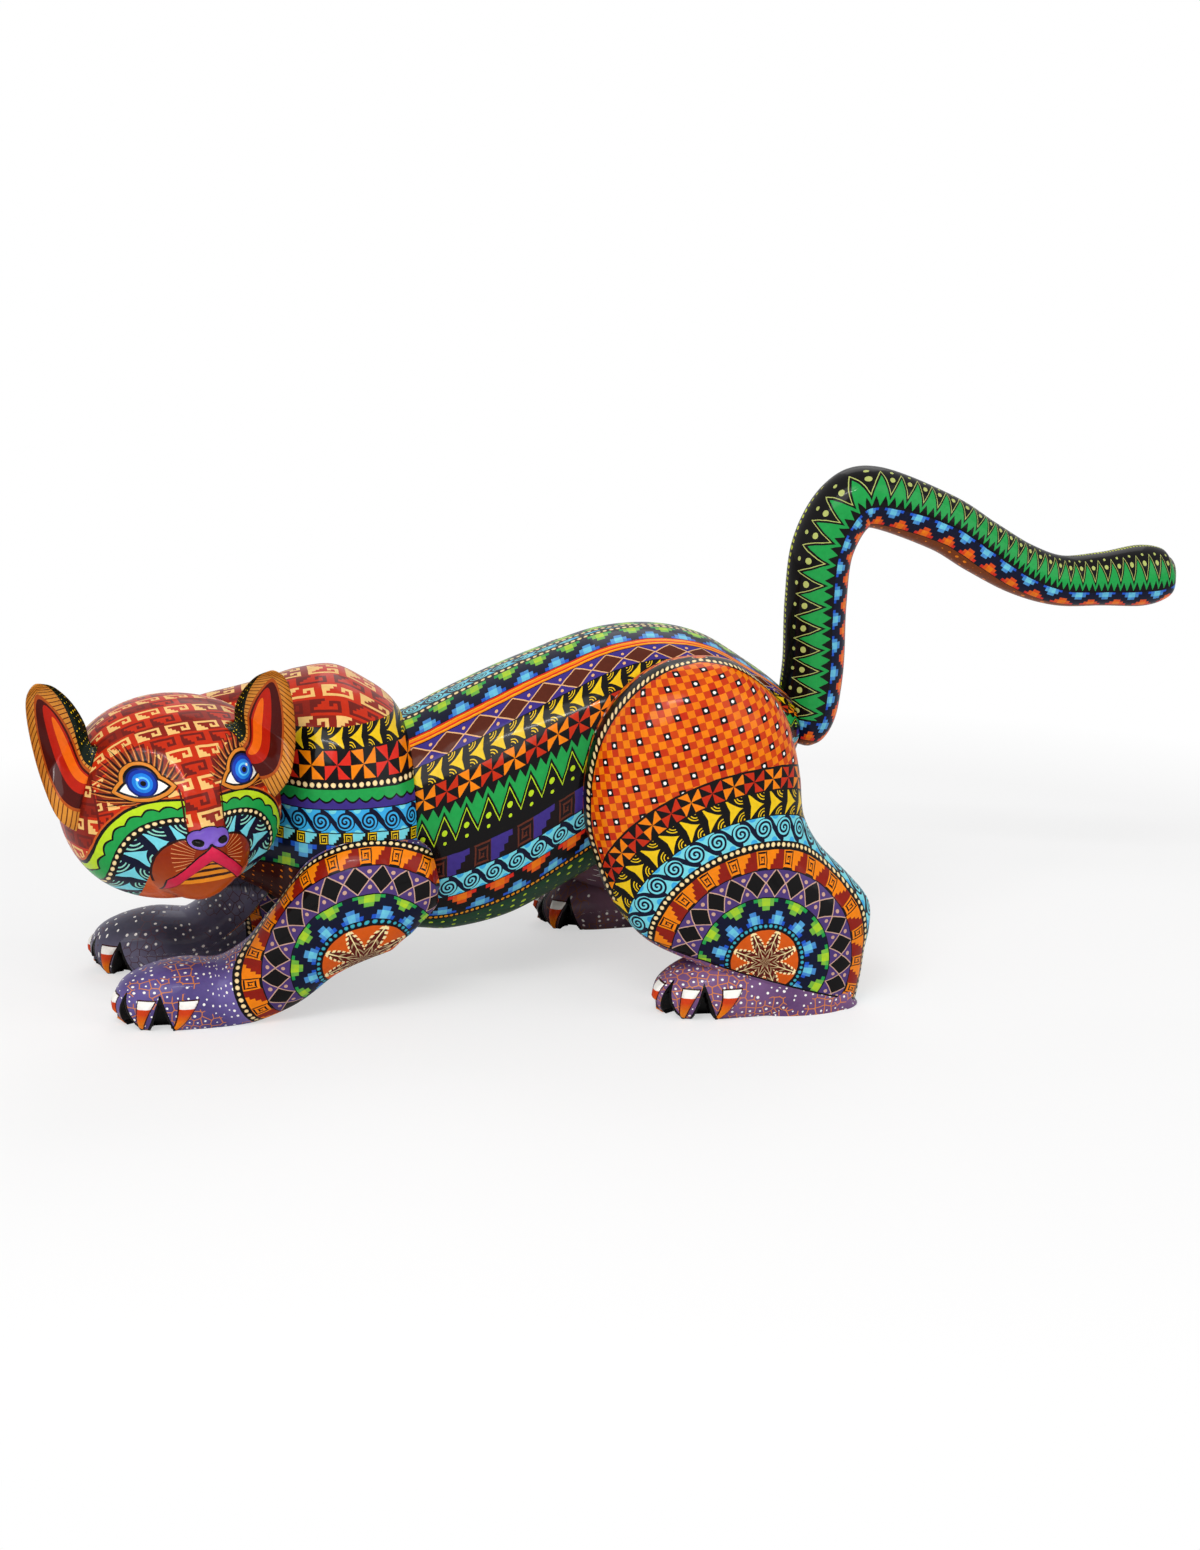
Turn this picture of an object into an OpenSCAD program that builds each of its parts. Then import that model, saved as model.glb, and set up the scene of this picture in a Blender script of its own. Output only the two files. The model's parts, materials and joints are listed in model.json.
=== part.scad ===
// Crouching feline carved in copal wood, with its head turned to its left side.
// Trunk, chest, head and legs are carved blocks, doweled and glued into one figure.
// The ears and the tail are pegged into sockets and pull out, so that the figure can be packed.
// The body faces -X, its left side is -Y, and the feet stand on z = 0.

/* [Trunk] */
// Greatest width of the trunk, across the ribs
trunk_w = 108; // [100:1:116]
// Distance from the middle of the figure back to the end of the rump
rump_x = 101; // [98:1:104]
// Height of the tail socket above the floor
tail_z = 122; // [120:1:124]

/* [Chest] */
// Greatest width of the chest, across the shoulders
chest_w = 120; // [114:1:126]
// Distance from the middle of the figure forward to the seam between chest and trunk
chest_seam = 98; // [96:1:100]

/* [Head] */
// Width of the head, from cheek to cheek
head_w = 104; // [100:1:108]
// Height of the head, from crown to chin
head_h = 96; // [92:1:100]
// Depth of the head, from the bridge of the nose to the nape
head_d = 106; // [102:1:110]
// Turn of the face towards the tail, past square to the body
head_turn = 13; // [10:1:16]
// Tilt of the face, left ear up
head_tilt = 7; // [4:1:10]
// Angle of the glued neck face, from square to the body
neck_angle = 40; // [37:1:43]

/* [Ears] */
// Length of the seat where an ear meets the head
ear_seat = 42; // [38:1:46]
// Reach of the right ear from its seat to its tip, along the peg
right_ear_reach = 35; // [32:1:38]
// Reach of the left ear from its seat to its tip, along the peg
left_ear_reach = 32; // [29:1:35]
// Rise of the right ear's tip above the middle of its seat
right_ear_rise = 39; // [36:1:42]
// Rise of the left ear's tip above the middle of its seat
left_ear_rise = 27; // [24:1:30]
// Depth of an ear from its rim to its back
ear_depth = 17; // [15:1:19]
// Wall of the ear's cup
ear_wall = 4; // [3:0.5:5]
// Diameter of an ear's peg
ear_peg_d = 8; // [6:0.5:9]
// Length of an ear's peg inside the head
ear_peg_in = 16; // [12:1:20]

/* [Front legs] */
// Thickness of a front leg at the shoulder
foreleg_t = 38; // [34:1:42]
// Width of a front paw
front_paw_w = 42; // [38:1:46]
// Height of a front paw
front_paw_h = 30; // [28:1:32]
// How far the right front paw is ahead of the left
front_stagger = 11; // [7:1:15]

/* [Hind legs] */
// Thickness of a haunch
haunch_t = 70; // [66:1:74]
// Length of a haunch, front to back
haunch_l = 107; // [101:1:113]
// Width of a hind foot
hind_foot_w = 42; // [38:1:46]
// Height of a hind foot at the instep
hind_foot_h = 28; // [26:1:30]
// How far the right hind foot is ahead of the left
hind_stagger = 36; // [32:1:40]
// How much lower the right haunch is, as it is bent further
haunch_drop = 15; // [12:1:18]

/* [Tail] */
// Diameter of the tail along its upright stretch
tail_d = 31; // [29:1:33]
// Height of the tail's bend above the floor, at the middle of its thickness
tail_top = 236; // [230:1:242]
// Distance from the middle of the figure back to the tail's tip
tail_tip = 296; // [291:1:301]
// Diameter of the tail's peg
tail_peg_d = 12; // [10:0.5:14]
// Length of the tail's peg inside the trunk
tail_peg_in = 34; // [28:1:38]

/* [Dowels] */
// Diameter of the dowels that hold the legs
leg_dowel_d = 8; // [6:0.5:10]
// Length of a leg dowel
leg_dowel_l = 36; // [30:1:40]
// Diameter of the dowels that hold chest and head
block_dowel_d = 10; // [8:0.5:12]
// Length of a chest or head dowel
block_dowel_l = 44; // [36:1:50]

/* [Fits] */
// Distance from the middle of the figure to the glued face of each leg
leg_seat = 40; // [38:1:42]
// Gap for glue around a dowel
glue_gap = 0.1; // [0.05:0.05:0.2]
// Running gap around a pull-out peg
peg_gap = 0.06; // [0.02:0.01:0.1]
// Gap between an ear and its pocket, and between tail and rump
seat_gap = 0.5; // [0.4:0.1:0.8]

/* [Hidden] */
$fn = 48;
big = 400;

// Curves and skins

function unit(v) = v / norm(v);

// Point of a smooth curve through rows at place t, counted in rows from the first
function curve(rows, t) =
    let (last = len(rows) - 1, i = min(floor(t), last - 1), f = t - i,
         a = rows[max(i - 1, 0)], b = rows[i], c = rows[i + 1], d = rows[min(i + 2, last)])
    b + 0.5 * f * ((c - a) + f * ((2 * a - 5 * b + 4 * c - d) + f * (3 * (b - c) + d - a)));

// A count of places along rows, as curve() takes them
function places(rows, count) = [for (i = [0 : count]) i * (len(rows) - 1) / count];

// Rounded-square profile value, for a ring that is fuller than an ellipse
function full(value, power) = sign(value) * pow(abs(value), 2 / power);

// Rings across X, from rows of x, middle y, middle z, half width, half height
function cross_rings(rows, count, sides, power) = [
    for (t = places(rows, count))
        let (row = curve(rows, t))
        [for (k = [0 : sides - 1])
            let (a = 360 * k / sides)
            [row[0], row[1] + row[3] * full(cos(a), power), row[2] + row[4] * full(sin(a), power)]]];

// Rings square to a path, or level, from rows of x, y, z, half size in the upright plane, half size across
function path_rings(rows, count, sides, power, level = false) = [
    for (t = places(rows, count))
        let (row = curve(rows, t), step = 0.02, last = len(rows) - 1,
             ahead = curve(rows, min(t + step, last)), behind = curve(rows, max(t - step, 0)),
             along = level ? [0, 0, -1] : unit([for (n = [0 : 2]) ahead[n] - behind[n]]),
             rise = unit(cross([0, 1, 0], along)), side = cross(along, rise))
        [for (k = [0 : sides - 1])
            let (a = 360 * k / sides)
            [row[0], row[1], row[2]] + row[3] * full(cos(a), power) * rise
                + row[4] * full(sin(a), power) * side]];

function total(list, i = 0) = i < len(list) ? list[i] + total(list, i + 1) : 0;
function middle(ring) = [for (n = [0 : 2]) total([for (p = ring) p[n]]) / len(ring)];

// Closed skin over rings that turn right-handed about the way they advance
module skin(rings) {
    sides = len(rings[0]);
    last = len(rings) - 1;
    first_pole = (last + 1) * sides;
    points = concat([for (ring = rings) each ring], [middle(rings[0]), middle(rings[last])]);
    walls = [for (i = [0 : last - 1], k = [0 : sides - 1])
        let (n = (k + 1) % sides, low = i * sides, high = low + sides)
        each [[low + k, high + k, high + n], [low + k, high + n, low + n]]];
    ends = [for (k = [0 : sides - 1])
        let (n = (k + 1) % sides, high = last * sides)
        each [[k, n, first_pole], [high + n, high + k, first_pole + 1]]];
    polyhedron(points, concat(walls, ends));
}

// Everything in front of a plane through point, with the plane's normal in the floor's plane
module half_space(point, angle) {
    translate(point) rotate([0, 0, angle]) translate([0, -big, -big]) cube([2 * big, 2 * big, 2 * big]);
}

// The figure is drawn about the middle of its trunk, and moved to stand over the middle of its floor box
middle_x = 8;
middle_y = -4;
module figure() {
    translate([-middle_x, -middle_y, 0]) children();
}

module above_floor() {
    translate([-big, -big, 0]) cube([2 * big, 2 * big, big]);
}

// Trunk

// Where the rump starts to close, and where it is nearly closed, ahead of its end
rump_taper = 27;
rump_cap = 12;
// x, middle y, middle z, half width, half height, from the chest back to the rump
trunk_rows = [
    [-chest_seam - 24, 0, 80, 0.84 * trunk_w / 2, 52],
    [-chest_seam, 0, 83, 0.88 * trunk_w / 2, 54],
    [-78, 0, 87, 0.95 * trunk_w / 2, 59],
    [-50, 0, 96, trunk_w / 2, 62],
    [-22, 0, 108, trunk_w / 2, 60],
    [2, 0, 118, 0.96 * trunk_w / 2, 57],
    [28, 0, 125, 0.9 * trunk_w / 2, 51],
    [52, 0, 127, 0.8 * trunk_w / 2, 43],
    [rump_x - rump_taper, 0, 124, 0.64 * trunk_w / 2, 32],
    [rump_x - rump_cap, 0, tail_z + 0.5, 0.46 * trunk_w / 2, 22],
    [rump_x - 3, 0, tail_z, 0.26 * trunk_w / 2, 13],
    [rump_x, 0, tail_z, 0.06 * trunk_w / 2, 3]];
// End of the rump at the tail's peg
tail_seat_x = rump_x;

module trunk() {
    color("darkslateblue") figure() difference() {
        skin(cross_rings(trunk_rows, 30, 32, 2.2));
        half_space([-chest_seam, 0, 0], 180);
        for (side = [-1, 1]) {
            haunch(side);
            foreleg(side);
        }
        tail_socket();
        chest_dowel_shape(glue_gap);
        for (side = [-1, 1]) hip_dowel_shape(side, glue_gap);
    }
}

module tail_socket() {
    translate([tail_seat_x - tail_peg_in - 1, 0, tail_z]) rotate([0, 90, 0])
        cylinder(d = tail_peg_d + 2 * peg_gap, h = big);
}

// Chest

chest_rows = [
    [-236, -16, 108, 0.14 * chest_w / 2, 10],
    [-230, -14, 108, 0.36 * chest_w / 2, 28],
    [-216, -9, 108, 0.49 * chest_w / 2, 38],
    [-198, -3, 107, 0.54 * chest_w / 2, 43],
    [-180, 0, 105, 0.6 * chest_w / 2, 48],
    [-165, 1, 102, 0.72 * chest_w / 2, 54],
    [-150, 0, 99, 0.92 * chest_w / 2, 61],
    [-131, 0, 96, chest_w / 2, 65],
    [-chest_seam - 16, 0, 91, 0.99 * chest_w / 2, 61],
    [-chest_seam - 6, 0, 87, 0.95 * chest_w / 2, 57],
    [-chest_seam, 0, 84, 0.87 * chest_w / 2, 51]];
// Middle of the glued face between neck and head
neck_face = [-196, -9, 108];

module chest_block() {
    color("firebrick") figure() difference() {
        skin(cross_rings(chest_rows, 22, 32, 2.15));
        half_space(neck_face, 180 + neck_angle);
        for (side = [-1, 1]) foreleg(side);
        chest_dowel_shape(glue_gap);
        neck_dowel_shape(glue_gap);
        for (side = [-1, 1]) shoulder_dowel_shape(side, glue_gap);
    }
}

// Head, in its own frame: the face looks to -Y, and the left cheek is +X

head_at = [-214, -40, 112.5];

module at_head() {
    translate(head_at) rotate([0, -head_tilt, head_turn]) children();
}

// Swellings and hollows of the head: direction, height as a share of the radius, reach, steepness
head_forms = [
    [[0, -0.92, -0.4], 0.16, 0.4, 4],
    [[0.17, -0.93, -0.33], 0.04, 0.17, 2],
    [[-0.17, -0.93, -0.33], 0.04, 0.17, 2],
    [[0, -0.98, -0.12], 0.06, 0.15, 3],
    [[0, -0.97, 0.2], 0.05, 0.2, 2],
    [[0, -0.78, -0.62], 0.05, 0.2, 2],
    [[0.72, -0.5, -0.4], 0.06, 0.38, 2],
    [[-0.72, -0.5, -0.4], 0.06, 0.38, 2],
    [[0.47, -0.79, 0.39], -0.06, 0.25, 3],
    [[-0.47, -0.79, 0.39], -0.06, 0.25, 3],
    [[0.47, -0.79, 0.39], 0.06, 0.14, 2],
    [[-0.47, -0.79, 0.39], 0.06, 0.14, 2],
    [[0.45, -0.65, 0.62], 0.04, 0.2, 2],
    [[-0.45, -0.65, 0.62], 0.04, 0.2, 2]];

function head_oval(d) = 1 / norm([2 * d[0] / head_w, 2 * d[1] / head_d, 2 * d[2] / head_h]);
// The face is carved a little aslant on the head: leaned to its left, and turned on towards the tail
face_lean = 6;
face_turn = 3;
function leaned(d, a) = [d[0] * cos(a) + d[2] * sin(a), d[1], d[2] * cos(a) - d[0] * sin(a)];
function turned(d, a) = [d[0] * cos(a) - d[1] * sin(a), d[0] * sin(a) + d[1] * cos(a), d[2]];
function face_way(d) = turned(leaned(unit(d), face_lean), face_turn);
function head_swell(d) =
    1 + total([for (form = head_forms) form[1] * exp(-pow(norm(d - face_way(form[0])) / form[2], form[3]))]);
function head_point(d) = d * head_oval(d) * head_swell(d);

function head_rings(rows, sides) = [
    for (i = [0 : rows])
        let (lift = -88 + 176 * i / rows)
        [for (k = [0 : sides - 1])
            let (turn = 360 * k / sides)
            head_point([cos(lift) * cos(turn), cos(lift) * sin(turn), sin(lift)])]];

module head_block() {
    color("orangered") figure() difference() {
        at_head() skin(head_rings(28, 44));
        half_space(neck_face, neck_angle);
        at_left_ear() ear_socket();
        at_right_ear() ear_socket();
        neck_dowel_shape(glue_gap);
    }
}

// Ears, in their own frame: the peg lies along X, the seat is the plane x = 0, the cup opens to -Y

// Middle of each seat, counted outwards from the middle of the face, and turn of its peg from square
left_ear_at = [36.5, -22, 17];
left_ear_turn = -20;
right_ear_at = [40, -9, 17];
right_ear_turn = -9;
ear_tilt = 25;

module at_left_ear() {
    at_head() translate(left_ear_at) rotate([0, -ear_tilt, left_ear_turn]) children();
}

module at_right_ear() {
    at_head() mirror([1, 0, 0]) translate(right_ear_at) rotate([0, -ear_tilt, right_ear_turn]) children();
}

// Middle line of the ear from seat to tip, curling back from the peg, with its half width and depth
function ear_rows(reach, rise) = [
    [seat_gap, 0, 0, ear_seat / 2, ear_depth],
    [0.25 * reach, 0, 0.05 * rise, 0.87 * ear_seat / 2, ear_depth],
    [0.48 * reach, 0.05 * reach, 0.36 * rise, 0.79 * ear_seat / 2, 0.96 * ear_depth],
    [0.72 * reach, 0.15 * reach, 0.7 * rise, 0.6 * ear_seat / 2, 0.82 * ear_depth],
    [0.9 * reach, 0.25 * reach, 0.95 * rise, 0.36 * ear_seat / 2, 0.6 * ear_depth],
    [0.98 * reach, 0.3 * reach, 1.07 * rise, 0.11 * ear_seat / 2, 0.4 * ear_depth]];
function mix(a, b, f) = a + (b - a) * f;

// Crescent rings: a round back, and a front that is full at the seat and dished clear of it.
// The rings lean up and curl back evenly from the seat to the tip.
ear_lean = 56;
ear_curl = 36;
function ear_rings(rows, count, sides) = [
    for (t = places(rows, count))
        let (row = curve(rows, t), f = t / (len(rows) - 1), lean = ear_lean * f, curl = ear_curl * f,
             along = [cos(lean) * cos(curl), cos(lean) * sin(curl), sin(lean)],
             up = unit(cross([0, 1, 0], along)), side = cross(along, up),
             dished = max(0, min(1, (t - 0.7) / 1.2)), hollow = 0.8 * max(0, row[4] - ear_wall) / row[4],
             front = mix(ear_front, -hollow, dished))
        [for (k = [0 : sides - 1])
            let (a = 360 * k / sides)
            [row[0], row[1] - ear_depth / 2, row[2]] + row[3] * cos(a) * up
                + row[4] * sin(a) * (sin(a) >= 0 ? 1 : front) * side]];
// Fullness of the seat in front of the rim, as a share of the depth
ear_front = 0.25;

module ear_shape(reach, rise) {
    difference() {
        skin(ear_rings(ear_rows(reach, rise), 14, 20));
        rotate([0, 90, 0]) cylinder(d = ear_peg_d + 2 * glue_gap, h = ear_peg_out + seat_gap);
    }
}
ear_peg_out = 7;

module ear_peg_shape() {
    translate([-ear_peg_in, 0, 0]) rotate([0, 90, 0]) cylinder(d = ear_peg_d, h = ear_peg_in + ear_peg_out);
}

// Pocket for the foot of an ear, open along the peg, and the peg's socket
module ear_socket() {
    rotate([90, 0, 90]) linear_extrude(big) polygon(ear_foot);
    translate([-ear_peg_in - 1, 0, 0]) rotate([0, 90, 0]) cylinder(d = ear_peg_d + 2 * peg_gap, h = big);
}
ear_foot = [for (k = [0 : 31])
    let (a = 360 * k / 32, half = ear_seat / 2 + seat_gap,
         deep = (sin(a) >= 0 ? 1 : ear_front) * ear_depth + seat_gap)
    [-ear_depth / 2 + deep * sin(a), half * cos(a)]];

module left_ear() {
    color("darkorange") figure() at_left_ear() ear_shape(left_ear_reach, left_ear_rise);
}
module right_ear() {
    color("darkorange") figure() at_right_ear() ear_shape(right_ear_reach, right_ear_rise);
}
module left_ear_peg() { color("burlywood") figure() at_left_ear() ear_peg_shape(); }
module right_ear_peg() { color("burlywood") figure() at_right_ear() ear_peg_shape(); }

// Front legs, drawn for the left side and mirrored

// The leg hangs from the chest, so its shoulder keeps its distance from the seam
shoulder_x = -chest_seam - 12;
shoulder_y = -52;
shoulder_z = 67;
front_paw_y = -40;
foreleg_rows = [
    [shoulder_x + 21, shoulder_y, shoulder_z + 5, 8, 0.4 * foreleg_t / 2],
    [shoulder_x + 16, shoulder_y, shoulder_z + 4, 17, 0.8 * foreleg_t / 2],
    [shoulder_x, shoulder_y - 1, shoulder_z, 26, foreleg_t / 2],
    [shoulder_x - 18, shoulder_y - 2, shoulder_z - 7, 30, 1.05 * foreleg_t / 2],
    [shoulder_x - 40, shoulder_y + 2, shoulder_z - 25, 23, foreleg_t / 2],
    [shoulder_x - 58, shoulder_y + 7, 0.8 * front_paw_h, 20, 0.95 * foreleg_t / 2],
    [shoulder_x - 80, front_paw_y, 0.42 * front_paw_h, 0.58 * front_paw_h, 0.95 * front_paw_w / 2],
    [shoulder_x - 102, front_paw_y, 0.4 * front_paw_h, 0.6 * front_paw_h, front_paw_w / 2],
    [shoulder_x - 119, front_paw_y, 0.34 * front_paw_h, 0.52 * front_paw_h, 0.88 * front_paw_w / 2],
    [shoulder_x - 129, front_paw_y, 0.25 * front_paw_h, 0.36 * front_paw_h, 0.6 * front_paw_w / 2],
    [shoulder_x - 133, front_paw_y, 0.2 * front_paw_h, 0.12 * front_paw_h, 0.24 * front_paw_w / 2]];
front_toe_x = shoulder_x - 112;
// Heights of the inner flats, below which a leg is round on its inner side
foreleg_flat_z = 40;
hind_flat_z = 74;

// Legs of the left side are drawn as they are, those of the right side mirrored and moved ahead
module on_side(side, stagger) {
    if (side < 0) children();
    else translate([-stagger, 0, 0]) mirror([0, 1, 0]) children();
}

module inner_flat(height) {
    translate([-big, -leg_seat, height]) cube([2 * big, big, big]);
}

// Where the gaps between toes point, from straight ahead towards the outer side
toe_turns = [-66, -18, 34, 88];

// Tent-shaped gap between two toes, turned towards the outer side from straight ahead
module toe_gap(at, turn) {
    gap_in = 8;
    gap_w = 11;
    gap_h = 15;
    translate(at) rotate([90, 0, turn - 90]) translate([0, 0, gap_in])
        linear_extrude(big / 8) polygon([[-gap_w / 2, -1], [gap_w / 2, -1], [0, gap_h]]);
}

module foreleg(side) {
    on_side(side, front_stagger) difference() {
        intersection() {
            skin(path_rings(foreleg_rows, 24, 22, 2.2));
            above_floor();
        }
        inner_flat(foreleg_flat_z);
        for (turn = toe_turns) toe_gap([front_toe_x, front_paw_y, 0], turn);
    }
}

module front_leg(side) {
    color("mediumpurple") figure() difference() {
        foreleg(side);
        shoulder_dowel_shape(side, glue_gap);
    }
}
module left_front_leg() { front_leg(-1); }
module right_front_leg() { front_leg(1); }

// Hind legs, drawn for the left side and mirrored

hip_y = -57;
hip_z = 114;
hock_z = 50;
hind_foot_y = -70;
haunch_x = 35;
// Level slices from the croup down to the heel: x, y, z, half length, half thickness
function haunch_rows(drop) = [
    [haunch_x + 3, hip_y, hip_z + 59 - drop, 0.08 * haunch_l / 2, 0.08 * haunch_t / 2],
    [haunch_x + 2, hip_y, hip_z + 56 - drop, 0.32 * haunch_l / 2, 0.4 * haunch_t / 2],
    [haunch_x + 1, hip_y, hip_z + 48 - drop, 0.55 * haunch_l / 2, 0.66 * haunch_t / 2],
    [haunch_x + 1, hip_y, hip_z + 36 - 0.95 * drop, 0.76 * haunch_l / 2, 0.84 * haunch_t / 2],
    [haunch_x, hip_y, hip_z + 20 - 0.9 * drop, 0.9 * haunch_l / 2, 0.96 * haunch_t / 2],
    [haunch_x, hip_y, hip_z - 0.7 * drop, 0.98 * haunch_l / 2, haunch_t / 2],
    [haunch_x + 1, hip_y - 1, hip_z - 20 - 0.5 * drop, haunch_l / 2, 0.99 * haunch_t / 2],
    [haunch_x + 7, hip_y - 2, hip_z - 36 - 0.3 * drop, 1.04 * haunch_l / 2, 0.96 * haunch_t / 2],
    [haunch_x + 17, hip_y - 5, hip_z - 52 - 0.1 * drop, 1.13 * haunch_l / 2, 0.88 * haunch_t / 2],
    [haunch_x + 25, hip_y - 8, hock_z, 1.15 * haunch_l / 2, 0.8 * haunch_t / 2],
    [haunch_x + 31, hip_y - 10, hock_z - 13, 1.04 * haunch_l / 2, 0.74 * haunch_t / 2],
    [haunch_x + 39, hind_foot_y + 1, hock_z - 23, 0.84 * haunch_l / 2, 0.68 * haunch_t / 2],
    [haunch_x + 48, hind_foot_y, hock_z - 34, 0.64 * haunch_l / 2, 0.6 * haunch_t / 2],
    [haunch_x + 50, hind_foot_y, 4, 0.56 * haunch_l / 2, 0.56 * haunch_t / 2],
    [haunch_x + 49, hind_foot_y, -6, 0.52 * haunch_l / 2, 0.54 * haunch_t / 2]];
// x, y, z, half height, half width, from the heel forward to the toes
foot_rows = [
    [haunch_x + 76, hind_foot_y, 4, 5, 0.5 * hind_foot_w / 2],
    [haunch_x + 72, hind_foot_y, 4, 10, 0.76 * hind_foot_w / 2],
    [haunch_x + 50, hind_foot_y, 0.38 * hind_foot_h, 0.58 * hind_foot_h, 0.94 * hind_foot_w / 2],
    [haunch_x + 15, hind_foot_y, 0.4 * hind_foot_h, 0.6 * hind_foot_h, hind_foot_w / 2],
    [haunch_x, hind_foot_y, 0.36 * hind_foot_h, 0.56 * hind_foot_h, 0.95 * hind_foot_w / 2],
    [haunch_x - 14, hind_foot_y, 0.26 * hind_foot_h, 0.38 * hind_foot_h, 0.7 * hind_foot_w / 2],
    [haunch_x - 20, hind_foot_y, 0.2 * hind_foot_h, 0.14 * hind_foot_h, 0.3 * hind_foot_w / 2]];

module haunch(side) {
    on_side(side, hind_stagger) difference() {
        intersection() {
            skin(path_rings(haunch_rows(side < 0 ? 0 : haunch_drop), 28, 26, 2.2, true));
            above_floor();
        }
        inner_flat(hind_flat_z);
    }
}

module hind_foot(side) {
    on_side(side, hind_stagger) difference() {
        intersection() {
            skin(path_rings(foot_rows, 14, 18, 2.2));
            above_floor();
        }
        for (turn = toe_turns) toe_gap([haunch_x + 1, hind_foot_y, 0], turn);
    }
}

module hind_leg(side) {
    color("darkorange") figure() difference() {
        union() {
            haunch(side);
            hind_foot(side);
        }
        hip_dowel_shape(side, glue_gap);
    }
}
module left_hind_leg() { hind_leg(-1); }
module right_hind_leg() { hind_leg(1); }

// Tail

tail_x = rump_x + 5;
// How far the tail's low stretch, before its tip, is below its bend
tail_drop = 45;
tail_low = tail_top - tail_drop;
// Height of the root above the socket, where the tail has its full thickness
tail_root_h = 18;
// How far the bend starts and ends behind the root
bend_start = 17;
bend_end = 32;
// x, y, z, half thickness both ways, from the root to the tip
tail_rows = [
    [tail_x - 4, 0, tail_z - 10, 2, 2],
    [tail_x - 3.5, 0, tail_z - 8.5, 0.45 * tail_d / 2, 0.45 * tail_d / 2],
    [tail_x - 2.5, 0, tail_z - 4, 0.75 * tail_d / 2, 0.75 * tail_d / 2],
    [tail_x - 0.5, 0, tail_z + 6, 0.95 * tail_d / 2, 0.95 * tail_d / 2],
    [tail_x + 1, 0, tail_z + tail_root_h, tail_d / 2, tail_d / 2],
    [tail_x + 2.5, 0, mix(tail_z, tail_top, 0.3), tail_d / 2, tail_d / 2],
    [tail_x + 3, 0, mix(tail_z, tail_top, 0.55), tail_d / 2, tail_d / 2],
    [tail_x + 6, 0, mix(tail_low, tail_top, 0.47), tail_d / 2, tail_d / 2],
    [tail_x + bend_start, 0, tail_top - 4, tail_d / 2, tail_d / 2],
    [tail_x + bend_end, 0, tail_top + 0.5, 0.98 * tail_d / 2, 0.98 * tail_d / 2],
    [mix(tail_x, tail_tip, 0.35), 0, mix(tail_low, tail_top, 0.71), 0.93 * tail_d / 2, 0.93 * tail_d / 2],
    [mix(tail_x, tail_tip, 0.46), 0, mix(tail_low, tail_top, 0.42), 0.9 * tail_d / 2, 0.9 * tail_d / 2],
    [mix(tail_x, tail_tip, 0.57), 0, mix(tail_low, tail_top, 0.16), 0.86 * tail_d / 2, 0.86 * tail_d / 2],
    [mix(tail_x, tail_tip, 0.68), 0, tail_low, 0.82 * tail_d / 2, 0.82 * tail_d / 2],
    [mix(tail_x, tail_tip, 0.8), 0, tail_low, 0.88 * tail_d / 2, 0.88 * tail_d / 2],
    [tail_tip - 0.58 * tail_d, 0, tail_low + 1, tail_d / 2, tail_d / 2],
    [tail_tip - 0.19 * tail_d, 0, tail_low + 1.5, 0.84 * tail_d / 2, 0.84 * tail_d / 2],
    [tail_tip - 0.05 * tail_d, 0, tail_low + 2, 0.5 * tail_d / 2, 0.5 * tail_d / 2],
    [tail_tip, 0, tail_low + 2, 0.14 * tail_d / 2, 0.14 * tail_d / 2]];
tail_peg_out = 10;

// The root of the tail is shaped to the rump, and a gap is left between them
module tail() {
    color("seagreen") figure() difference() {
        skin(path_rings(tail_rows, 56, 16, 2));
        skin(cross_rings([for (row = trunk_rows) row + seat_gap * [1, 0, 0, 1, 1]], 30, 32, 2.2));
        translate([0, 0, tail_z]) rotate([0, 90, 0])
            cylinder(d = tail_peg_d + 2 * glue_gap, h = tail_seat_x + tail_peg_out);
    }
}

module tail_peg() {
    color("burlywood") figure() translate([tail_seat_x - tail_peg_in, 0, tail_z]) rotate([0, 90, 0])
        cylinder(d = tail_peg_d, h = tail_peg_in + tail_peg_out);
}

// Dowels; gap widens and lengthens them to cut their holes

module block_dowel(gap) {
    cylinder(d = block_dowel_d + 2 * gap, h = block_dowel_l + 2 * gap, center = true);
}

chest_dowel_y = 22;
chest_dowel_z = 90;
module chest_dowel_shape(gap) {
    for (side = [-1, 1])
        translate([-chest_seam, side * chest_dowel_y, chest_dowel_z]) rotate([0, 90, 0])
            block_dowel(gap);
}

neck_dowel_gap = 30;
module neck_dowel_shape(gap) {
    for (side = [-1, 1])
        translate(neck_face + [0, 0, side * neck_dowel_gap / 2]) rotate([0, 90, neck_angle])
            block_dowel(gap);
}

// Dowel across the glued face of a leg, at x and z
module leg_dowel(x, z, gap) {
    translate([x, -leg_seat + leg_dowel_l / 2 + gap, z]) rotate([90, 0, 0])
        cylinder(d = leg_dowel_d + 2 * gap, h = leg_dowel_l + 2 * gap);
}

module shoulder_dowel_shape(side, gap) {
    on_side(side, front_stagger) {
        leg_dowel(shoulder_x + 2, shoulder_z + 3, gap);
        leg_dowel(shoulder_x - 18, shoulder_z - 7, gap);
    }
}

module hip_dowel_shape(side, gap) {
    on_side(side, hind_stagger) {
        leg_dowel(haunch_x - 10, hip_z + 11, gap);
        leg_dowel(haunch_x, hip_z - 16, gap);
    }
}

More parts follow.
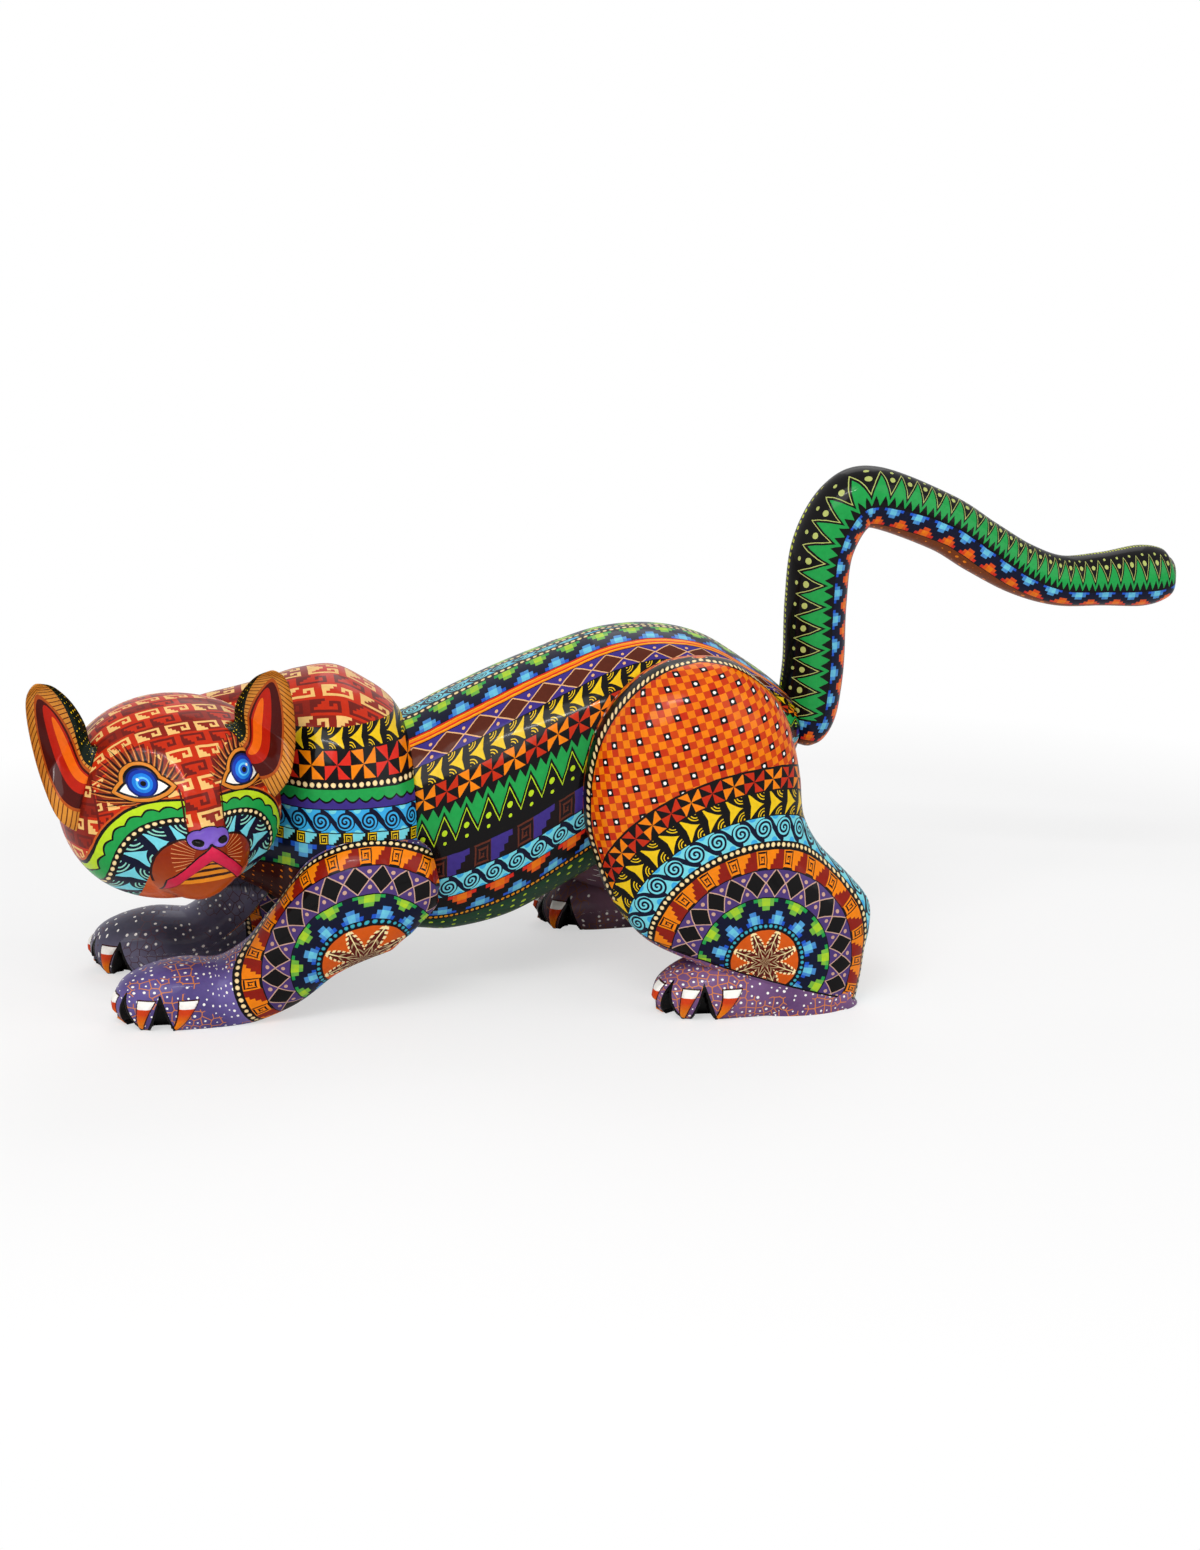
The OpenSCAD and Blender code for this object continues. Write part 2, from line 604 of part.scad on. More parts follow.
module chest_dowels() { color("burlywood") figure() chest_dowel_shape(0); }
module neck_dowels() { color("burlywood") figure() neck_dowel_shape(0); }
module left_shoulder_dowels() { color("burlywood") figure() shoulder_dowel_shape(-1, 0); }
module right_shoulder_dowels() { color("burlywood") figure() shoulder_dowel_shape(1, 0); }
module left_hip_dowels() { color("burlywood") figure() hip_dowel_shape(-1, 0); }
module right_hip_dowels() { color("burlywood") figure() hip_dowel_shape(1, 0); }

trunk();
chest_block();
head_block();
left_front_leg();
right_front_leg();
left_hind_leg();
right_hind_leg();
left_ear();
right_ear();
left_ear_peg();
right_ear_peg();
tail();
tail_peg();
chest_dowels();
neck_dowels();
left_shoulder_dowels();
right_shoulder_dowels();
left_hip_dowels();
right_hip_dowels();
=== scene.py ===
# %% [markdown]
# # A carved feline, painted all over
# The real figure is a crouching big feline carved in soft copal wood, with every surface
# covered in fine brushwork under a gloss varnish. Head, chest, trunk and legs are glued
# blocks; the ears and the tail are pegged in and pull out. The CAD holds the same forms
# with coarse facets, so each carved block is worked out again here on a fine grid, from
# the same stations, and then painted with node groups that draw the brush motifs.

import json

import bpy
import numpy as np
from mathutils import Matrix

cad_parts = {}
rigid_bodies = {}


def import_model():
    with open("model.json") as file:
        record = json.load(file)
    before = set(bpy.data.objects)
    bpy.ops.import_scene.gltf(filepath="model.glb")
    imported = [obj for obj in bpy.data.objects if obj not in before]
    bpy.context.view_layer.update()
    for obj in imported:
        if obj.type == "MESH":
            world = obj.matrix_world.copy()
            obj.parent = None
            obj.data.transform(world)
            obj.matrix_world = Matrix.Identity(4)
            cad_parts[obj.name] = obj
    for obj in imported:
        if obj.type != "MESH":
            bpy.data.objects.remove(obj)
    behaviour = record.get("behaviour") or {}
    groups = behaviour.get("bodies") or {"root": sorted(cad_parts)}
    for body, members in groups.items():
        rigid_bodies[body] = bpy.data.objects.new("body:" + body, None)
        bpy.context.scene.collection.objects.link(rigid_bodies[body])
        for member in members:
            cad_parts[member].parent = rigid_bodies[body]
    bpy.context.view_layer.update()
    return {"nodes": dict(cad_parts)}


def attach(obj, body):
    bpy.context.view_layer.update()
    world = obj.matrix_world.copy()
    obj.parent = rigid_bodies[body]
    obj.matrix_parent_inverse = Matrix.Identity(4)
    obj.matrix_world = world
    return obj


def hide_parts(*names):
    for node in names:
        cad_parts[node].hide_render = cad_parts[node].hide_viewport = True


for left_over in list(bpy.data.objects):
    bpy.data.objects.remove(left_over)
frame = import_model()

# %% [markdown]
# ## Stations and rings
# A carver thinks of a limb as a row of cross sections. Each table below lists such
# sections in millimetres, a smooth curve runs through them, and a ring of points stands
# at each place on the curve. Sculpting by hand could give the same forms, but sections
# stay easy to change. A ring is a little fuller than an ellipse, as a carved block is.
# This is the same way that the CAD model is drawn, only with more points.

# %% Curves through stations
MM = 0.001
# From the tables' origin to the frame's, in millimetres
MOVED = np.array([-8.0, 4.0, 0.0])
# Power of most rings: 2 is an ellipse, more is fuller
FULLNESS = 2.2


def smooth_rows(rows, places):
    """Catmull-Rom curve: between rows b and c, b + f/2 ((c-a) + f (2a-5b+4c-d + f (3b-3c+d-a)))."""
    last = len(rows) - 1
    i = np.minimum(places.astype(int), last - 1)
    f = (places - i)[:, None]
    a, b = rows[np.maximum(i - 1, 0)], rows[i]
    c, d = rows[i + 1], rows[np.minimum(i + 2, last)]
    return b + 0.5 * f * ((c - a) + f * ((2 * a - 5 * b + 4 * c - d) + f * (3 * (b - c) + d - a)))


def even_places(rows, count):
    """Places along the rows whose steps are even in length, counting changes of place and of size."""
    fine = np.linspace(0, len(rows) - 1, 4001)
    steps = np.linalg.norm(np.diff(smooth_rows(rows, fine), axis=0), axis=1)
    length = np.r_[0, np.cumsum(steps)]
    return np.interp(np.linspace(0, length[-1], count + 1), length, fine)


def full(value, power):
    """sign(v) |v|^(2/power): a cosine or sine made fuller, so that a ring becomes a rounded square."""
    return np.sign(value) * np.abs(value) ** (2 / power)


def unit(v):
    """Vectors drawn to length 1."""
    return v / np.linalg.norm(v, axis=-1, keepdims=True)


def ramp(value):
    """The value, kept between 0 and 1."""
    return np.clip(value, 0, 1)


def turn_round(sides):
    """Even angles round a ring."""
    return np.linspace(0, 2 * np.pi, sides, endpoint=False)


# %% Rings
def cross_rings(rows, count, sides, power):
    """Rings across X: (x, y + w full(cos a), z + h full(sin a)), starting at the top, a = 90 degrees."""
    rows = np.array(rows, float)
    x, y, z, w, h = smooth_rows(rows, even_places(rows, count)).T[:, :, None]
    a = np.pi / 2 + turn_round(sides)
    return np.stack([x + 0 * a, y + w * full(np.cos(a), power), z + h * full(np.sin(a), power)], -1)


def path_rings(rows, count, sides, power, level=False):
    """Rings square to a path, or level: middle + p full(cos a) rise + q full(sin a) side."""
    rows = np.array(rows, float)
    places = even_places(rows, count)
    row = smooth_rows(rows, places)
    last = len(rows) - 1
    ahead = smooth_rows(rows, np.minimum(places + 0.02, last))[:, :3]
    behind = smooth_rows(rows, np.maximum(places - 0.02, 0))[:, :3]
    along = np.broadcast_to([0.0, 0.0, -1.0], ahead.shape) if level else unit(ahead - behind)
    rise = unit(np.cross([0.0, 1.0, 0.0], along))
    side = np.cross(along, rise)
    a = turn_round(sides)[None, :, None]
    upright = row[:, None, 3:4] * full(np.cos(a), power) * rise[:, None]
    sideways = row[:, None, 4:5] * full(np.sin(a), power) * side[:, None]
    return row[:, None, :3] + upright + sideways


# %% [markdown]
# ## From rings to a mesh
# Rings become quads between neighbours, and each end closes in a fan to one point. The
# paint needs to know where it is on the surface in millimetres, along the piece and
# around it. An unwrapped map would need seams, so those lengths are measured on the rings
# and kept as attributes.

# %% Surface lengths
def lengths_along(rings):
    """Mean length of the steps between rings, summed from the first ring: one number a ring."""
    steps = np.linalg.norm(np.diff(rings, axis=0), axis=-1).mean(axis=1)
    return np.broadcast_to(np.r_[0, np.cumsum(steps)][:, None], rings.shape[:2])


def lengths_around(rings, start=0):
    """Length round the ring from its start column, positive one way and negative the other, and the girth."""
    turned = np.roll(rings, -start, axis=1)
    steps = np.linalg.norm(np.roll(turned, -1, axis=1) - turned, axis=-1)
    gone = np.cumsum(steps, axis=1) - steps
    total = steps.sum(axis=1, keepdims=True)
    return np.roll(np.where(gone < total / 2, gone, gone - total), start, axis=1), total


def outer_column(rings):
    """The column along a limb's outer side, three quarters of the way round each ring."""
    return 3 * rings.shape[1] // 4


def unfolded(rings):
    """A limb's outer side rolled out: each ring's middle, plus the length round along its first spoke."""
    around, _ = lengths_around(rings, outer_column(rings))
    middle = rings.mean(axis=1, keepdims=True)
    return middle + around[..., None] * unit(rings[:, :1] - middle)


# %% Skins
def skin(name, rings, attributes, ends=None):
    """Closed skin over rings in mm: quads between rings, a fan at each end, faces turned outwards."""
    count, sides = rings.shape[:2]
    ends = rings[[0, -1]].mean(axis=1) if ends is None else ends
    points = np.concatenate([rings.reshape(-1, 3), ends])
    index = np.arange(count * sides).reshape(count, sides)
    beside = np.roll(index, -1, axis=1)
    quads = np.stack([index[:-1], beside[:-1], beside[1:], index[1:]], -1).reshape(-1, 4)
    first = np.stack([beside[0], index[0], np.full(sides, count * sides)], -1)
    final = np.stack([index[-1], beside[-1], np.full(sides, count * sides + 1)], -1)
    a, b, c = points[quads[:, 0]], points[quads[:, 1]], points[quads[:, 2]]
    if np.einsum("ij,ij->", np.cross(a, b), c) < 0:
        quads, first, final = quads[:, ::-1], first[:, ::-1], final[:, ::-1]
    faces = quads.tolist() + first.tolist() + final.tolist()
    mesh = bpy.data.meshes.new(name)
    mesh.from_pydata(((points + MOVED) * MM).tolist(), [], faces)
    mesh.polygons.foreach_set("use_smooth", np.ones(len(mesh.polygons), bool))
    for title, field in attributes.items():
        field = np.concatenate([field.reshape(-1, 3), field[[0, -1]].mean(axis=1)])
        layer = mesh.attributes.new(title, "FLOAT_VECTOR", "POINT")
        layer.data.foreach_set("vector", field.astype(np.float32).ravel())
    piece = bpy.data.objects.new(name, mesh)
    bpy.context.scene.collection.objects.link(piece)
    print(f"{name}: {len(points)} points, {2 * len(quads) + 2 * sides} triangles")
    return piece


def stands_for(piece, body, slot, *nodes):
    """The piece moves with a body and takes the place of CAD nodes; the slot is not used."""
    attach(piece, body)
    if nodes:
        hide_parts(*nodes)


# %% [markdown]
# ## Trunk
# The trunk is a barrel that rises from the chest to the croup and closes round the root
# of the tail. A stretched sphere would be quicker, but stations follow the belly and the
# rump. The brushwork runs lengthwise, in bands that keep their place on the girth, so the
# paint coordinate across the bands is the share of the half girth. The end of the loft
# turns inwards as the socket for the tail's peg, which shows when the tail is out.

# %% Trunk
TRUNK_HALF_GIRTH, TRUNK_SIDES = 183.0, 288
SOCKET_AT, SOCKET_RADIUS = np.array([0.0, 0.0, 122.0]), 6.06
SOCKET_MOUTH, SOCKET_FLOOR = 99.0, 66.0
TRUNK = np.array([
    [-122, 0, 80, 45.4, 52], [-98, 0, 83, 47.5, 54], [-78, 0, 87, 51.3, 59], [-50, 0, 96, 54, 62],
    [-22, 0, 108, 54, 60], [2, 0, 118, 51.8, 57], [28, 0, 125, 48.6, 51], [52, 0, 127, 43.2, 43],
    [74, 0, 124, 34.6, 32], [89, 0, 122.5, 24.8, 22], [98, 0, 122, 14, 13], [101, 0, 122, 3.2, 3]])
rings = cross_rings(TRUNK, 300, TRUNK_SIDES, FULLNESS)
# Rings about as narrow as the socket's mouth are left out
rings = rings[np.ptp(rings[..., 1], axis=1) > 2 * SOCKET_RADIUS + 0.48]
a = np.pi / 2 + turn_round(TRUNK_SIDES)
mouth = SOCKET_AT + SOCKET_RADIUS * np.stack([0 * a, np.cos(a), np.sin(a)], -1)
depths = np.array([rings[-1, 0, 0], SOCKET_MOUTH, SOCKET_FLOOR, SOCKET_FLOOR])
socket = mouth + depths[:, None, None] * [1, 0, 0]
floor_middle = SOCKET_AT + [SOCKET_FLOOR, 0, 0]
socket[3] = floor_middle + 0.2 * (socket[3] - floor_middle)
around, girth = lengths_around(rings)
# Towards the chest the bands widen by about a tenth and sink by about 7 mm
fan = ramp((20 - rings[..., 0]) / 120)
across = np.abs(around) / girth * 2 * TRUNK_HALF_GIRTH * (1 - 0.09 * fan) - 7 * fan
bands = np.stack([lengths_along(rings), across, 0 * around], -1)
inside = np.broadcast_to([0.0, 0.0, 1.0], socket.shape)
trunk = skin("trunk_carved", np.concatenate([rings, socket]), {"bands": np.concatenate([bands, inside])})
stands_for(trunk, "figure", "trunk_paint", "trunk")

# %% [markdown]
# ## Chest and neck
# The chest is the widest block. It overlaps the trunk with a rounded ledge and narrows to
# the neck, which is glued to the head on an upright face that stands aslant. A Boolean
# could cut that face, but pressing the points that would pass it back onto it keeps the
# grid clean. They are pressed softly, so the edge is round, more so on the far side.

# %% Chest
CHEST_HALF_GIRTH = 190.0
NECK_FACE = np.array([-196.0, -9.0, 108.0])
NECK_WAY = np.array([np.cos(np.radians(40)), np.sin(np.radians(40)), 0])
CHEST = [
    [-236, -16, 108, 8.4, 10], [-230, -14, 108, 21.6, 28], [-216, -9, 108, 29.4, 38],
    [-198, -3, 107, 32.4, 43], [-180, 0, 105, 36, 48], [-165, 1, 102, 43.2, 54], [-150, 0, 99, 55.2, 61],
    [-131, 0, 96, 60, 65], [-114, 0, 91, 59.4, 61], [-104, 0, 87, 57, 57], [-98, 0, 84, 52.2, 51]]
rings = cross_rings(CHEST, 230, 320, 2.15)
around, girth = lengths_around(rings)
across = np.abs(around) / girth * 2 * CHEST_HALF_GIRTH
bands = np.stack([lengths_along(rings), across, rings[..., 2]], -1)
past = (NECK_FACE - rings) @ NECK_WAY
softness = 6 + 12 * ramp((rings[..., 1] + 10) / 30)
past = (past + np.hypot(past, softness)) / 2
chest = skin("chest_carved", rings + past[..., None] * NECK_WAY, {"bands": bands})
stands_for(chest, "figure", "chest_block_paint", "chest_block")

# %% [markdown]
# ## Shapes of the face
# Lips, nose and eyelids are first cut with a knife and then painted to the same lines. So
# each line is written once, as plain arithmetic that works for a whole array of points
# here and for shader values later. Places are in the face's own plane, in millimetres
# from its middle: half is the distance to the middle line, z is the height.

# %% Lines of the face
EYE_OUT, EYE_UP = 23.4, 17.2
IRIS_OUT, IRIS_UP, IRIS_RADIUS = 0.2, 2.5, 6.4


def root_of_squares(x, y):
    return (x * x + y * y) ** 0.5


def lesser(a, b):
    return (a + b - abs(a - b)) / 2


def greater(a, b):
    return (a + b + abs(a - b)) / 2


def off_lip(half, z):
    """Distance from the upper lip's middle line, an arch that falls away to both sides."""
    return abs(z + 11.5 + 0.72 * half + 0.012 * half * half)


def off_nose(half, z):
    """Below 1 inside the nose: the union of an oval for each wing and one in the middle."""
    wing = root_of_squares((half - 4.8) / 5, (z + 5) / 4)
    return lesser(wing, root_of_squares(half / 5.5, (z + 3.4) / 3.6))


def off_nostril(half, z):
    """Below 1 inside a nostril, an oval."""
    return root_of_squares((half - 5.8) / 2.6, (z + 6) / 1.7)


def off_pads(half, z):
    """Below 1 on the whisker pads and the chin."""
    return lesser(root_of_squares(half - 9, z + 20) / 15, root_of_squares(half / 20, (z + 27) / 12))


def eye_place(x, z):
    """Coordinates about the nearer eye, outwards and upwards; both eyes roll 4 degrees and tilt 3."""
    way = x / (abs(x) + 0.000001)
    x, z = x - way * EYE_OUT, z - EYE_UP
    x, z = (x * 0.9976 + z * 0.07) * way, z * 0.9976 - x * 0.07
    return x - 0.05 * z, z + 0.05 * x


def off_eye(x, z):
    """Distance outside the eye, negative inside: a round iris and a flat lens, over the lower lid's arc."""
    round_iris = root_of_squares(x - IRIS_OUT, z - IRIS_UP) - IRIS_RADIUS - 0.1
    opening = lesser(round_iris, root_of_squares(x, z + 9) - 13.3)
    return greater(opening, root_of_squares(x, z - 14) - 17.5)


# %% [markdown]
# ## Head
# The head is an oval with swellings and hollows: muzzle, lip pads, nose, cheeks, brows and
# eye sockets. It could be sculpted, but here each form lifts the radius by a bell curve of
# the angle from its own direction, so every swelling has a size that can be changed. The
# face sits slightly aslant on the head, so its directions are leaned and turned first. The
# finer cuts follow the lines above, and are less than two millimetres high. Grid lines lie
# closer together on the face. Each ear sits in a shallow pocket, whose points are pressed
# down to its floor.

# %% Head forms
HEAD_AT = np.array([-214.0, -40.0, 112.5])
HEAD_HALF, HEAD_ROUND = [52, 53, 48], 52


def about_z(degrees):
    c, s = np.cos(np.radians(degrees)), np.sin(np.radians(degrees))
    return np.array([[c, -s, 0], [s, c, 0], [0, 0, 1]])


def about_y(degrees):
    c, s = np.cos(np.radians(degrees)), np.sin(np.radians(degrees))
    return np.array([[c, 0, s], [0, 1, 0], [-s, 0, c]])


HEAD_TURN = about_z(13) @ about_y(-7)
FACE_TURN = about_z(3) @ about_y(6)
# Direction, height, reach and power of each form; a form beside the middle line comes twice
HEAD_FORMS = {
    "muzzle": ((0, -0.92, -0.4), 0.16, 0.4, 4), "lip pads": ((0.17, -0.93, -0.33), 0.04, 0.17, 2),
    "nose": ((0, -0.98, -0.12), 0.06, 0.15, 3), "bridge": ((0, -0.97, 0.2), 0.05, 0.2, 2),
    "chin": ((0, -0.78, -0.62), 0.05, 0.2, 2), "cheeks": ((0.72, -0.5, -0.4), 0.06, 0.38, 2),
    "eye sockets": ((0.47, -0.79, 0.39), -0.06, 0.25, 3), "eyeballs": ((0.47, -0.79, 0.39), 0.06, 0.14, 2),
    "brows": ((0.45, -0.65, 0.62), 0.04, 0.2, 2), "temples": ((0.6, -0.2, 0.78), 0.05, 0.35, 2)}


def head_radius(way):
    """Oval radius 1 / |way / half axes|, times 1 + the sum of height exp(-(distance / reach)^power)."""
    swell = 1.0
    for (x, y, z), height, reach, power in HEAD_FORMS.values():
        for side in (x, -x) if x else (x,):
            middle = FACE_TURN @ unit(np.array([side, y, z], float))
            distance = np.linalg.norm(way - middle, axis=-1)
            swell = swell + height * np.exp(-((distance / reach) ** power))
    return swell / np.linalg.norm(way / HEAD_HALF, axis=-1)


def face_relief(x, z):
    """Fine carving in mm: lips, nose, bridge and lids raised; nostrils, mouth and the pads' crease hollow."""
    half = np.abs(x)
    lips = np.sqrt(ramp(1 - (off_lip(half, z) / 3.7) ** 2)) * ramp((19 - half) / 4)
    mouth = ramp((-16 - 0.6 * half - z) / 2) * ramp((z + 28) / 3) * ramp((14 - half) / 3)
    crease = np.exp(-(((off_pads(half, z) - 1) / 0.07) ** 2)) * ramp((z + 27) / 3)
    bridge = ramp((9.6 - half) / 1.6) * ramp((z + 5) / 4) * ramp((20 - z) / 8)
    lid = off_eye(*eye_place(x, z))
    lids = np.exp(-(((lid - 1.4) / 1.2) ** 2)) + 0.7 * ramp(-lid / 4)
    nose = ramp((1.12 - off_nose(half, z)) / 0.3) - 1.6 * ramp(1 - off_nostril(half, z) ** 2)
    return 1.1 * lips - 0.9 * mouth - 0.5 * crease + 0.7 * bridge + 0.8 * lids + 1.0 * nose


# %% Head surface
EAR_TILT = about_y(-25)
EAR_SET_BACK = 8.5
# Side, place, turn, reach outwards and rise of each ear
EARS = {
    "left_ear": (1, np.array([36.5, -22, 17]), -20, 32, 27),
    "right_ear": (-1, np.array([40.0, -9, 17]), -9, 35, 39)}
FACE_BACK = -8


def press_seat(local, flip, at, turn, reach, rise):
    """Presses points under an ear's root, 0.3 mm inside its edge, to the pocket's floor; says how far."""
    frame_of_ear = about_z(turn) @ EAR_TILT
    place = (local * [flip, 1, 1] - at) @ frame_of_ear
    out = ramp((place[..., 0] - 0.5) / (0.25 * reach - 0.5))
    up = (place[..., 2] - 0.05 * rise * out) / (20.7 - 2.7 * out)
    back = place[..., 1] + EAR_SET_BACK
    covered = 1 - up ** 2 - (back / np.where(back > 0, 16.7, 4)) ** 2
    pressed = np.where(place[..., 0] > 0.4, ramp(covered / 0.15), 0)
    place[..., 0] += (0.3 - place[..., 0]) * pressed
    return (at + place @ frame_of_ear.T) * [flip, 1, 1], pressed


share = np.linspace(-1, 1, 240)[:, None]
lift = np.radians(89) * (0.6 * share + 0.4 * share ** 3)
share = turn_round(400)[None, :]
turn = share - 0.5 * np.sin(share) - np.pi / 2
way = np.stack([np.cos(lift) * np.cos(turn), np.cos(lift) * np.sin(turn), np.sin(lift) + 0 * turn], -1)
radius = head_radius(way)
face = way * radius[..., None] @ FACE_TURN
relief = np.where(face[..., 1] < FACE_BACK, face_relief(face[..., 0], face[..., 2]), 0)
local = way * (radius + relief)[..., None]
seat = np.zeros(local.shape[:2])
for flip, *ear in EARS.values():
    local, pressed = press_seat(local, flip, *ear)
    seat += pressed
points = HEAD_AT + local @ HEAD_TURN.T
past = (points - HEAD_AT) @ NECK_WAY / ((NECK_FACE - HEAD_AT) @ NECK_WAY)
points = HEAD_AT + (points - HEAD_AT) / np.maximum(1, past)[..., None]

# %% Head piece
x, y, z = np.moveaxis(way, -1, 0)
crown = np.stack([np.arcsin(x), np.arctan2(z, -y), seat / HEAD_ROUND], -1) * HEAD_ROUND
temple = np.abs(x)
cap = np.stack([np.arctan2(-y, temple) * HEAD_ROUND, np.arcsin(z) * HEAD_ROUND, temple], -1)
head = skin("head_carved", points, {"face": face, "crown": crown, "cap": cap})
stands_for(head, "figure", "head_block_paint", "head_block")

# %% [markdown]
# ## Ears
# An ear is a leaf with a round back and a dished front, full at the seat where it enters
# the head and rounded off at the tip. A bent sheet with a thickness would have an even
# wall; crescent rings let the wall swell towards the root. The rings lean upwards and curl
# back evenly to the tip. The paint coordinates are the share of the way to the tip, and
# the cosine and sine of the angle round the ring.

# %% Ears
def ear_rings(reach, rise, count, sides):
    """Crescent rings: middle + w cos(a) up + d sin(a) side, with sin(a) < 0 drawn in to dish the front."""
    rows = np.array([
        [0.5, 0, 0, 21, 17], [0.25 * reach, 0, 0.05 * rise, 18.3, 17],
        [0.48 * reach, 0.05 * reach, 0.36 * rise, 16.6, 16.3],
        [0.72 * reach, 0.15 * reach, 0.7 * rise, 12.6, 13.9],
        [0.9 * reach, 0.25 * reach, 0.95 * rise, 7.6, 10.2],
        [0.98 * reach, 0.3 * reach, 1.07 * rise, 2.3, 6.8]])
    places = even_places(rows, count)
    x, y, z, w, d = smooth_rows(rows, places).T
    share = places / 5
    lean, curl = np.radians(56) * share, np.radians(36) * share
    along = np.stack([np.cos(lean) * np.cos(curl), np.cos(lean) * np.sin(curl), np.sin(lean)], -1)
    up = unit(np.cross([0.0, 1.0, 0.0], along))
    side = np.cross(along, up)
    rounded = np.sqrt(1 - 0.93 * ramp((places - 4.3) / 0.7) ** 2)
    w, d = w * rounded, d * rounded
    dished = ramp((places - 0.7) / 1.2) * ramp((5 - places) / 0.7)
    hollow = 0.8 * np.maximum(0, d - 4) / d
    front = 0.25 + (-hollow - 0.25) * dished
    a = turn_round(sides)[None, :]
    depth = d[:, None] * np.sin(a) * np.where(np.sin(a) >= 0, 1, front[:, None])
    middle = np.stack([x, y - EAR_SET_BACK, z], -1)[:, None]
    points = middle + (w[:, None] * np.cos(a))[..., None] * up[:, None] + depth[..., None] * side[:, None]
    leaf = np.stack([share[:, None] + 0 * a, np.cos(a) + 0 * x[:, None], np.sin(a) + 0 * x[:, None]], -1)
    return points, leaf


def pinned_ear(name, flip, at, turn, reach, rise):
    points, leaf = ear_rings(reach, rise, 110, 160)
    points = (at + points @ (about_z(turn) @ EAR_TILT).T) * [flip, 1, 1]
    piece = skin(name + "_carved", HEAD_AT + points @ HEAD_TURN.T, {"leaf": leaf})
    stands_for(piece, name, "ear_paint", name)
    return piece


left_ear, right_ear = (pinned_ear(name, *ear) for name, ear in EARS.items())

# %% [markdown]
# ## Paws and front legs
# Each leg is drawn for the left side and mirrored for the right, moved ahead by the
# stagger of the stride. A paw is flat on the floor, and tent-shaped gaps part its toes.
# Cutting the gaps out would leave ragged edges, so points inside a tent are pushed back
# to the tent's rear wall. The paint gets lengths along and around the leg, and for the
# toes the place beside the nearest claw.

# %% Toes and claws
TOE_TURNS = np.radians([-66, -18, 34, 88])
CLAW_TURNS = np.radians([-44, 8, 61, 116])


def ahead_and_beside(turn):
    """Level directions away from the toes' root, and square to it."""
    return np.array([-np.cos(turn), -np.sin(turn), 0]), np.array([np.sin(turn), -np.cos(turn), 0])


def part_toes(points, at):
    """Pushes points inside a tent (|side| < 5.5 (15 - z)/16, 8 mm or more ahead) back to its rear wall."""
    margin = np.full(points.shape[:2], -50.0)
    for turn in TOE_TURNS:
        ahead, beside = ahead_and_beside(turn)
        u = (points - at) @ ahead - 8
        roof = 5.5 * (15 - points[..., 2]) / 16 - np.abs((points - at) @ beside)
        margin = np.maximum(margin, np.minimum(u, roof))
        inside = (u > 0) & (roof > 0)
        points = points - np.where(inside, u, 0)[..., None] * ahead
    return points, margin


def beside_claws(points, at):
    """Sideways distance to the nearest claw's middle line, which leans forwards from root to tip."""
    nearest = np.full(points.shape[:2], 50.0)
    for turn in CLAW_TURNS:
        ahead, beside = ahead_and_beside(turn)
        lean = 0.35 * (points[..., 2] - 8) * np.sin(turn)
        side = np.abs((points - at) @ beside - lean)
        nearest = np.minimum(nearest, np.where((points - at) @ ahead > 4, side, 50))
    return nearest


def inside_claw(side, height):
    """How far inside a claw, in mm: a wedge, 0.8 mm to each side at the tip and 4 mm at its flat root."""
    return lesser(0.8 + 0.2 * height - side, 16 - height)


def raise_claws(points, at, side):
    """Claws stand out from the toes by up to 1.4 mm, along the level way from the toes' root."""
    out = unit((points - at) * [1, 1, 0] + [1e-6, 0, 0])
    lift = 1.4 * np.sqrt(ramp(inside_claw(side, points[..., 2]) / 1.6))
    return points + lift[..., None] * out


def carve_paw(rings, toe_root):
    """Parts the toes, raises the claws and sets the sole on the floor; gives the paint's fields as well."""
    around, _ = lengths_around(rings, outer_column(rings))
    pelt = np.stack([lengths_along(rings), around, 0 * around], -1)
    side_of_claw = beside_claws(rings, toe_root)
    rings, margin = part_toes(rings, toe_root)
    rings = raise_claws(rings, toe_root, side_of_claw)
    toes = np.stack([side_of_claw, rings[..., 2], margin], -1)
    rings[..., 2] = np.maximum(rings[..., 2], 0)
    return rings, {"pelt": pelt, "toes": toes}


# %% Front legs
INNER_FACE, FRONT_STAGGER, FRONT_TOE_ROOT = -40, 11, np.array([-222.0, -40.0, 0.0])
FORELEG = [
    [-89, -52, 72, 8, 7.6], [-94, -52, 71, 17, 15.2], [-110, -53, 67, 26, 19], [-128, -54, 60, 30, 20],
    [-150, -50, 42, 23, 19], [-168, -45, 24, 20, 18], [-190, -40, 12.6, 17.4, 20], [-212, -40, 12, 18, 21],
    [-229, -40, 10.2, 15.6, 18.5], [-239, -40, 7.5, 10.8, 12.6], [-243, -40, 6, 3.6, 5]]


def on_side(points, side, stagger):
    """The right side is the left side mirrored and moved ahead."""
    return points if side < 0 else points * [1, -1, 1] - [stagger, 0, 0]


def press_inner(rings, above):
    """Flattens the inner side above a height, where the leg is glued to the body."""
    inner = np.minimum(rings[..., 1], INNER_FACE)
    rings[..., 1] = np.where(rings[..., 2] > above, inner, rings[..., 1])


def front_leg(name, side):
    rings = path_rings(FORELEG, 300, 220, FULLNESS)
    ends = on_side(rings[[0, -1]].mean(axis=1), side, FRONT_STAGGER)
    flat = unfolded(rings)
    rings, fields = carve_paw(rings, FRONT_TOE_ROOT)
    press_inner(rings, 40)
    piece = skin(name + "_carved", on_side(rings, side, FRONT_STAGGER), {"flat": flat, **fields}, ends)
    stands_for(piece, "figure", name + "_paint", name)
    return piece


left_front_leg = front_leg("left_front_leg", -1)
right_front_leg = front_leg("right_front_leg", 1)

